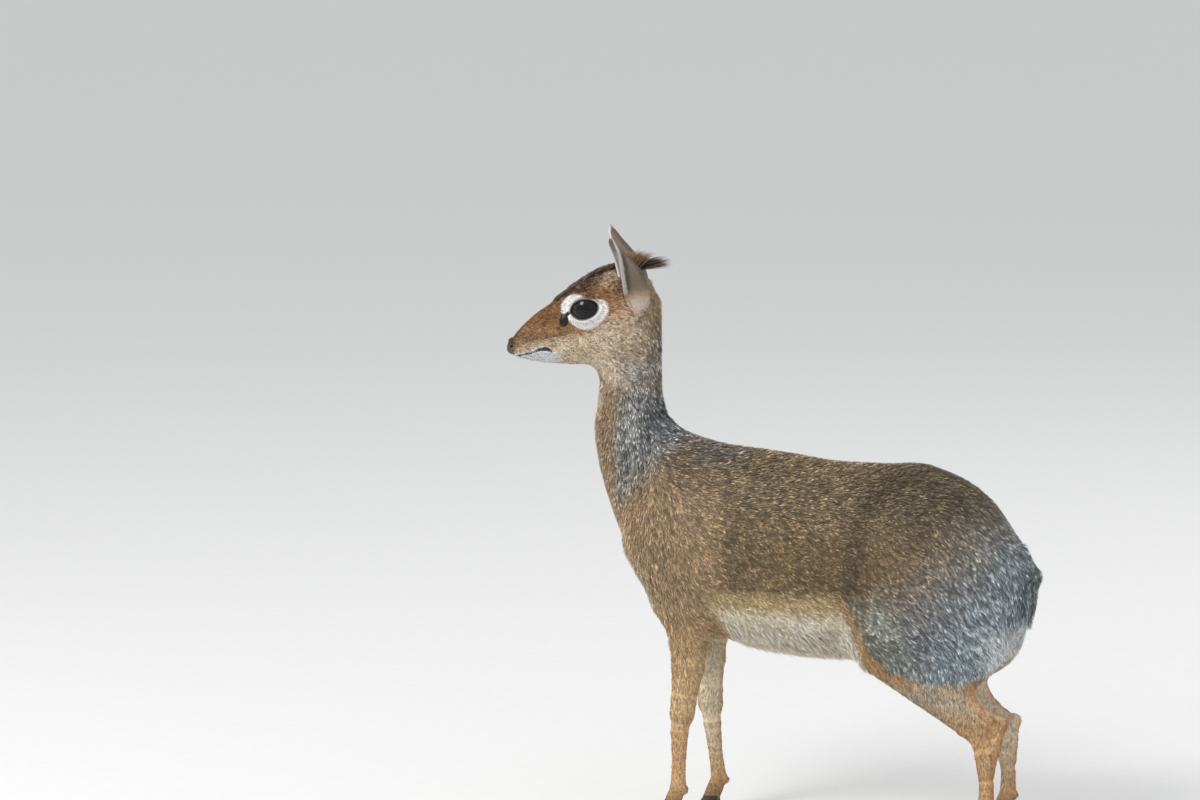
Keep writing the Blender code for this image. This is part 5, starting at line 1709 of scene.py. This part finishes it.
def close_ends(obj):
    """Fills the open rims of a mesh and turns its faces outward."""
    form = bmesh.new()
    form.from_mesh(obj.data)
    rims = [e for e in form.edges if e.is_boundary]
    bmesh.ops.holes_fill(form, edges=rims, sides=0)
    bmesh.ops.recalc_face_normals(form, faces=form.faces[:])
    form.to_mesh(obj.data)
    form.free()
    obj.data.shade_smooth()


def make_eye_material():
    material, shader, tree = plain_material("wet_eye", PUPIL_BLACK, EYE_FINISH)
    color = attribute_node(tree, "eye_color")
    fibres = add_noise(tree, IRIS_FIBRES, 2.0)
    tinted = mottled(tree, color.outputs["Color"], fibres.outputs["Fac"], 0.25)
    tree.links.new(tinted, shader.inputs["Base Color"])
    return material


def make_eye(word, side, material):
    centre, forward, up, out = eye_frame(side)
    unit, quads = ball_points(EYE_RINGS, EYE_COLUMNS)
    offset = unit @ np.array((forward, up, out)) * EYE_RADIUS
    eye = mesh_object("eyeball_" + word, out_of_head(centre + offset), quads, [material])
    close_ends(eye)
    local = (points_of(eye) - out_of_head(centre)) @ (np.array((forward, up, out)) @ HEAD_AXES).T
    pupil = np.hypot(local[:, 0] / PUPIL[0], local[:, 1] / PUPIL[1])
    ring = np.hypot(local[:, 0], local[:, 1])
    color = np.tile(EYE_WHITE, (len(local), 1))
    front = local[:, 2] > 0
    iris = soft(IRIS_RADIUS + IRIS_EDGE, IRIS_RADIUS - IRIS_EDGE, ring[front])
    color[front] += (IRIS_BROWN - color[front]) * iris[:, None]
    color[front] += (PUPIL_BLACK - color[front]) * soft(1.15, 0.90, pupil[front])[:, None]
    give_color(eye, "eye_color", color)
    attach(eye, "root")
    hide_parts("eye_" + word)
    return eye


eye_material = make_eye_material()
for word, side in SIDES:
    print(make_eye(word, side, eye_material).name, "radius", EYE_RADIUS)

# %% [markdown]
# Dark lashes stand out from the upper lid and shade the eye. There are few enough to set one by one
# along the lid's edge.

# %% Lashes
LASH_COUNT, LASH_LENGTH, LASH_WIDTH = 34, 0.0062, 0.00042
LASH_STEPS, LASH_CURL = 3, 0.5
LASH_SPREAD, LASH_RISE = (0.7, 1.1), (38, 55)  # of the length, and in degrees
LASH_STRETCH = 1.06  # how far outside the opening they grow


def make_lashes(word, side):
    centre, forward, up, out = eye_frame(side)
    edge = [p for p in lid_curve(side, CREASE_RADIUS, LASH_STRETCH, 160) if (p - centre) @ up > 0.0015]
    edge = sorted(edge, key=lambda p: p[0])
    picked = np.array([edge[int(i * (len(edge) - 1) / (LASH_COUNT - 1))] for i in range(LASH_COUNT)])
    away = unit_rows(picked - centre)
    heading = lay_flat(np.tile(up * 0.55, (LASH_COUNT, 1)) - forward * 0.25 + out * 0.4, away)
    roots, normals, headings = out_of_head(picked), away @ HEAD_AXES, heading @ HEAD_AXES
    length = LASH_LENGTH * draw.uniform(*LASH_SPREAD, LASH_COUNT)
    width = np.full(LASH_COUNT, LASH_WIDTH)
    lift = np.radians(draw.uniform(*LASH_RISE, LASH_COUNT))
    blades = grow_blades(roots, normals, headings, length, width, lift, lift * LASH_CURL, LASH_STEPS)
    colors = blade_colors(np.tile(BARE_BLACK, (LASH_COUNT, 1)), np.zeros(LASH_COUNT), draw, LASH_STEPS, 0.0)
    patches = np.stack((np.full(LASH_COUNT, 0.5), np.linspace(0.1, 0.9, LASH_COUNT)), 1)
    faces = blade_faces(LASH_COUNT, LASH_STEPS)
    return blade_object("lashes_" + word, blades, faces, colors, patches, coat_material)


for word, side in SIDES:
    print(make_lashes(word, side).name, LASH_COUNT)

# %% [markdown]
# ## Ears
# Each ear is a leaf rolled into a cup that opens forward and outward. The solids have it with flat
# facets; here the same rows are read at many more places and the rim gets a round edge. The back is
# short-haired and grey-brown, a white line runs down the rim, and long pale hairs grow inside.

# %% Ear leaves
# Height in the ear, then in the head's axes the middle of the rims forward, out and up, half the width
# across the rims, depth of the cup behind them, and how far it opens outward in degrees
EAR = (
    (-0.20, -0.0060, 0.0225, -0.0245, 0.0080, 0.0100, 5),
    (-0.10, 0.0000, 0.0248, -0.0172, 0.0095, 0.0175, 5),
    (0.00, 0.0055, 0.0270, -0.0090, 0.0113, 0.0243, 6),
    (0.12, 0.0091, 0.0295, 0.0005, 0.0128, 0.0273, 6),
    (0.25, 0.0108, 0.0320, 0.0090, 0.0140, 0.0276, 7),
    (0.45, 0.0130, 0.0370, 0.0220, 0.0158, 0.0248, 8),
    (0.65, 0.0156, 0.0412, 0.0350, 0.0150, 0.0170, 11),
    (0.82, 0.0185, 0.0445, 0.0465, 0.0126, 0.0088, 15),
    (0.93, 0.0208, 0.0463, 0.0535, 0.0092, 0.0050, 18),
    (1.00, 0.0215, 0.0472, 0.0580, 0.0046, 0.0018, 20),
)
EAR_WALL = 0.0016
EAR_ROWS, EAR_COLUMNS = 64, 40
EAR_COAT = 0.0007
CUP_POWER = 2.4  # how square the cup is across


def ear_rows(side, at):
    """Middle of the rims, half width, depth, opening and chord of the ear's cup at many heights."""
    place, out, up, half, depth, heading = (along(EAR, column, at) for column in range(1, 7))
    turn = np.radians(heading)
    flat = np.zeros(len(at))
    opening = np.stack((np.cos(turn), side * np.sin(turn), flat), 1)
    chord = np.stack((-np.sin(turn), side * np.cos(turn), flat), 1)
    return np.stack((place, side * out, up), 1), half, depth, opening, chord


def ear_surface(side, at, across):
    """Points on the outer skin of an ear, by height in it and by place across it from rim to rim."""
    middle, half, depth, opening, chord = ear_rows(side, at)
    sag = 1 - np.abs(across) ** CUP_POWER
    back = opening * ((depth - EAR_COAT) * sag)[:, None]
    return middle - back + chord * (half * across)[:, None], half, sag, opening, chord


def ear_grid(side, rows, columns):
    closer_at_rims = np.sin(np.linspace(-1, 1, columns + 1) * math.pi / 2)
    at, across = np.meshgrid(np.linspace(EAR[0][0], EAR[-1][0], rows + 1), closer_at_rims, indexing="ij")
    at, across = at.ravel(), across.ravel()
    outer, half, sag, opening, chord = ear_surface(side, at, across)
    wall = np.minimum(EAR_WALL * (0.45 + 0.55 * sag) * (1 - 0.35 * np.maximum(at, 0)), half * 0.6)
    toward = opening * (0.35 + 0.65 * sag)[:, None] - chord * (across * (1 - sag))[:, None]
    return outer, outer + unit_rows(toward) * wall[:, None], at, across


def make_ear(word, side, material):
    outer, inner, at, across = ear_grid(side, EAR_ROWS, EAR_COLUMNS)
    width = EAR_COLUMNS + 1
    outside = grid_quads(EAR_ROWS, EAR_COLUMNS)
    inside = outside[:, ::-1] + len(outer)
    sides = [(row * width + column, width) for row in range(EAR_ROWS) for column in (0, EAR_COLUMNS)]
    ends = [(row * width + column, 1) for row in (0, EAR_ROWS) for column in range(EAR_COLUMNS)]
    rim = [(a, a + step, a + step + len(outer), a + len(outer)) for a, step in sides + ends]
    points = out_of_head(np.concatenate((outer, inner)))
    faces = np.concatenate((outside, inside, np.array(rim)))
    ear = mesh_object("ear_leaf_" + word, points, faces, [material])
    close_ends(ear)
    is_inner = np.repeat((0.0, 1.0), len(outer))
    at, across = np.tile(at, 2), np.tile(across, 2)
    color = run_into_head(ear_color(at, across, is_inner), at, points_of(ear), vertex_normals(ear))
    give_color(ear, "coat_color", color)
    give_value(ear, "ticking", np.full(len(color), 0.14))
    give_value(ear, "bare", is_inner * 0.3)
    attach(ear, "root")
    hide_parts("ear_" + word)
    return ear


def ear_color(at, across, inner):
    """Colour over an ear: across runs from the inner rim at -1 to the outer rim at 1."""
    coat = plain_coat(len(at), EAR_BROWN, 0)
    behind = along(EAR, 5, at) * (1 - np.abs(across) ** CUP_POWER)
    lay(coat, soft(0.20, 0.48, at) * soft(0.65, 0.35, np.abs(across)) * 0.92, EAR_GREY, 0)
    lay(coat, soft(0.75, 0.95, at) * 0.45, RUFOUS_DARK, 0)
    # Painted shadow: a dark line in the deep cup next to the outer rim.
    line = soft(0.0030, 0.0045, behind) * soft(0.0105, 0.0070, behind)
    line = line * soft(0.08, 0.16, at) * soft(0.90, 0.70, at)
    lay(coat, line * (across > 0) * 0.75, EAR_GREY * 0.5, 0)
    lay(coat, soft(0.0042, 0.0030, behind) * (across > 0) * soft(0.05, 0.15, at), EAR_PALE, 0)
    lay(coat, soft(0.0026, 0.0014, behind) * (across < 0) * soft(0.10, 0.25, at), RING_WHITE, 0)
    lay(coat, inner * soft(0.99, 0.93, np.abs(across)), EAR_PALE * 0.50, 0)
    lay(coat, inner * soft(0.60, 0.90, at) * 0.6, EAR_GREY * 0.6, 0)
    return coat.color


def run_into_head(color, at, points, normals):
    """Lets an ear's colours run into those of the head at its base."""
    ground = markings(points, normals)[0]
    return color + (ground - color) * soft(0.26, 0.05, at)[:, None]


ear_material = skin.data.materials[0]
for word, side in SIDES:
    ear = make_ear(word, side, ear_material)
    print(ear.name, len(ear.data.polygons), "faces")

# %% Ear hair
EAR_BACK_HAIRS, EAR_RIM_HAIRS, EAR_INNER_HAIRS = 3200, 520, 620
EAR_STEP = 0.004  # how far aside a place is read to find the slope there
EAR_HAIR_STEPS, EAR_HAIR_CURL = 2, 0.8


def ear_frame_at(side, at, across, inner):
    """Place, outward normal and up-the-ear heading at places on an ear, in the body's frame."""
    here = ear_surface(side, at, across)[0]
    higher = ear_surface(side, at + EAR_STEP, across)[0]
    wider = ear_surface(side, at, np.clip(across + EAR_STEP, -1, 1))[0]
    narrower = ear_surface(side, at, np.clip(across - EAR_STEP, -1, 1))[0]
    rise = unit_rows(higher - here)
    normal = unit_rows(np.cross(wider - narrower, rise) * side)
    opening = ear_rows(side, at)[3]
    flip = np.sign((normal * opening).sum(1))[:, None]
    normal = -normal * flip
    here = here + np.where(inner, 1, 0)[:, None] * -normal * EAR_WALL * 0.5
    normal = np.where(np.asarray(inner)[:, None], -normal, normal)
    return out_of_head(here), normal @ HEAD_AXES, lay_flat(rise, normal) @ HEAD_AXES


def ear_hairs(count, kind):
    """Places and sizes of one kind of hair on an ear."""
    at = draw.uniform(-0.12, 0.985, count)
    if kind == "back":
        across, inner = draw.uniform(-0.93, 0.93, count), False
        length, width, lift = draw.uniform(0.0026, 0.0042, count), 0.00055, 0.14
    elif kind == "rim":
        across, inner = np.where(draw.random(count) < 0.5, -1, 1) * draw.uniform(0.93, 0.995, count), False
        length, width, lift = draw.uniform(0.0028, 0.0048, count), 0.00050, 0.35
    else:
        across, inner = draw.choice((-1, 1), count) * draw.uniform(0.25, 0.85, count), True
        at = draw.uniform(0.05, 0.72, count)
        length, width, lift = draw.uniform(0.0070, 0.0125, count), 0.00050, 0.40
    return at, across, np.full(count, inner), length, np.full(count, width), np.full(count, lift)


def grow_ear_hair(word, side):
    kinds = (EAR_BACK_HAIRS, "back"), (EAR_RIM_HAIRS, "rim"), (EAR_INNER_HAIRS, "inner")
    rows = [ear_hairs(count, kind) for count, kind in kinds]
    at, across, inner, length, width, lift = (np.concatenate(column) for column in zip(*rows))
    roots, normals, headings = ear_frame_at(side, at, across, inner)
    blades = grow_blades(roots, normals, headings, length, width, lift, lift * EAR_HAIR_CURL, EAR_HAIR_STEPS)
    color = run_into_head(ear_color(at, across, np.zeros(len(at))), at, roots, normals)
    color[inner] = EAR_PALE * 0.85
    colors = blade_colors(color, np.where(inner, 0.04, 0.20), draw, EAR_HAIR_STEPS, 0.15)
    height = np.clip(at + 0.12, 0, 1.12) / 1.12
    patches = np.stack((0.25 + 0.24 * across + 0.5 * inner, 0.03 + 0.94 * height), 1)
    faces = blade_faces(len(at), EAR_HAIR_STEPS)
    return blade_object("coat_ear_" + word, blades, faces, colors, patches, coat_material)


for word, side in SIDES:
    print(grow_ear_hair(word, side).name, EAR_BACK_HAIRS + EAR_RIM_HAIRS + EAR_INNER_HAIRS, "hairs")

# %% [markdown]
# ## Crest
# Long stiff hairs stand along the crown: a low dark ridge on the forehead, a tan tuft between the ears,
# and a dark lock lying straight back from it. The solids carry them as a few thick locks. Here there are
# many thin ones, longer blades of the same make as the coat, with more steps because they bend.

# %% Crest
# kind: how many, first and last root forward, spread sideways, first and last length,
# first and last rise above straight back in degrees, bend towards the tip, width
CREST = {
    "ridge": (900, 0.0800, 0.0120, 0.0085, 0.0075, 0.0125, 66, 44, 34, 0.0010),
    "tuft": (420, 0.0160, -0.0050, 0.0080, 0.0160, 0.0265, 88, 60, 28, 0.0011),
    "lying": (260, 0.0090, 0.0000, 0.0026, 0.0360, 0.0415, 18, 15, 8, 0.0011),
}
CREST_STEPS = 5
CREST_COLORS = {"ridge": CROWN_DARK, "tuft": srgb(160, 122, 88), "lying": srgb(60, 48, 41)}
CREST_LIGHT = srgb(150, 118, 90)
CREST_LENGTHS, CREST_WIDTHS = (0.72, 1.12), (0.7, 1.3)  # least and most, against the table
RISE_CHANCE = 4  # degrees
FANNING, FAN_CHANCE = 26, 0.10  # how far the locks fan out from the middle line
LIGHT_SHARE = {"ridge": 0.30, "tuft": 0.30, "lying": 0.12}


def crown_points(forward, sideways):
    """Places on the skin of the crown above each place in the head."""
    low, high = np.full(len(forward), -0.045), np.full(len(forward), 0.040)
    for _ in range(16):
        middle = (low + high) / 2
        outside = skin_form(out_of_head(np.stack((forward, sideways, middle), 1))) > 0
        low, high = np.where(outside, low, middle), np.where(outside, middle, high)
    return out_of_head(np.stack((forward, sideways, (low + high) / 2), 1))


def crest_locks(kind):
    count, first, last, spread, short, long, steep, flat, bend, width = CREST[kind]
    share = np.sort(draw.random(count))
    sideways = np.clip(draw.normal(0, spread * 0.5, count), -spread, spread)
    roots = crown_points(first + (last - first) * share, sideways)
    length = (short + (long - short) * share) * draw.uniform(*CREST_LENGTHS, count)
    rise = np.radians(steep + (flat - steep) * share + draw.normal(0, RISE_CHANCE, count))
    fan = sideways * FANNING + draw.normal(0, FAN_CHANCE, count)
    backward = np.stack((-np.ones(count), fan, np.zeros(count)), 1)
    up = np.tile((0.0, 0.0, 1.0), (count, 1))
    backward = lay_flat(backward, up) @ HEAD_AXES
    widths = np.full(count, width) * draw.uniform(*CREST_WIDTHS, count)
    bends = np.full(count, math.radians(bend))
    blades = grow_blades(roots, up @ HEAD_AXES, backward, length, widths, rise, bends, CREST_STEPS)
    color = np.tile(CREST_COLORS[kind], (count, 1))
    color[draw.random(count) < LIGHT_SHARE[kind]] = CREST_LIGHT
    return blades, blade_colors(color, np.full(count, 0.22), draw, CREST_STEPS, 0.20, 0.2), roots


def grow_crest():
    kinds = [crest_locks(kind) for kind in CREST]
    blades, colors, roots = (np.concatenate(column) for column in zip(*kinds))
    patches = unroll(roots, *AXES["face"])
    faces = blade_faces(len(roots), CREST_STEPS)
    return blade_object("coat_crest", blades, faces, colors, patches, coat_material)


crest = grow_crest()
print("crest blades:", sum(row[0] for row in CREST.values()), "triangles:", len(crest.data.polygons))

# %% [markdown]
# ## Hooves
# Two narrow claws stand side by side on each foot, with flat soles and pointed toes. Horn grows down
# from the coronet and shows faint rings across, so the claw is lofted through level outlines and its
# material is banded by height.

# %% Hooves
# level above the floor, length, width of one claw, and how far its middle lies ahead of the coronet
CLAW_LEVELS = (
    (0.0000, 0.0236, 0.0083, -0.0040),
    (0.0006, 0.0243, 0.0087, -0.0040),
    (0.0015, 0.0246, 0.0089, -0.0040),
    (0.0070, 0.0208, 0.0084, -0.0020),
    (0.0120, 0.0170, 0.0077, -0.0004),
    (0.0143, 0.0158, 0.0074, 0.0000),
)
CLAW_OUTLINE = (
    (-1.00, 0.12), (-0.84, 0.52), (-0.45, 0.90), (0.15, 1.00), (0.68, 0.90),
    (0.98, 0.52), (0.96, 0.14), (0.50, 0.00), (-0.30, 0.00), (-0.90, 0.00),
)
CLEFT = 0.0012
CLAW_ROWS = 22
HORN_TONE = srgb(42, 38, 36)
HORN_SHADES = (0.65, 1.9)  # the darkest and the lightest ring
HORN_RINGS = 210.0
HORN_FINISH = {"Roughness": 0.42, "Specular IOR Level": 0.45}


def make_horn_material():
    material, shader, tree = plain_material("hoof_horn", HORN_TONE, HORN_FINISH)
    place = tree.nodes.new("ShaderNodeTexCoord")
    rings = tree.nodes.new("ShaderNodeTexWave")
    rings.bands_direction = "Z"
    set_inputs(rings, {"Scale": HORN_RINGS, "Distortion": 2.2, "Detail": 2.0})
    tree.links.new(place.outputs["Object"], rings.inputs["Vector"])
    shade_color(tree, shader, rings.outputs["Fac"], HORN_TONE, HORN_SHADES)
    add_bump(tree, shader, rings.outputs["Fac"], 0.5, 0.0003)
    return material


def make_claw(name, node, middle, side, material):
    outline = rounded(CLAW_OUTLINE, 2)
    levels = np.linspace(0, CLAW_LEVELS[-1][0], CLAW_ROWS)
    rings = []
    for level in levels:
        length, width, ahead = (along(CLAW_LEVELS, column, np.array([level]))[0] for column in (1, 2, 3))
        x = middle[0] + ahead + outline[:, 0] * length / 2
        y = middle[1] + side * (CLEFT / 2 + np.maximum(outline[:, 1], 0) * width)
        rings.append(np.stack((x, y, np.full(len(x), FLOOR + level)), 1))
    quads = grid_quads(CLAW_ROWS - 1, len(outline), True)
    claw = mesh_object(name, np.concatenate(rings), quads, [material])
    close_ends(claw)
    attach(claw, "root")
    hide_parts(node)


horn_material = make_horn_material()
for kind, joints in (("fore", fore_leg), ("hind", hind_leg)):
    for word, side in SIDES:
        for place, out in (("inner", -side), ("outer", side)):
            ending = "_".join((kind, word, place))
            make_claw("hoof_" + ending, "claw_" + ending, joints(side)[-1][0], out, horn_material)
print("claws: 8, each", CLAW_ROWS, "levels")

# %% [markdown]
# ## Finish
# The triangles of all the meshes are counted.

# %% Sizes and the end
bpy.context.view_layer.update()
made = [o.data for o in bpy.data.objects if o.type == "MESH"]
print("triangles:", sum(len(mesh.loops) - 2 * len(mesh.polygons) for mesh in made))
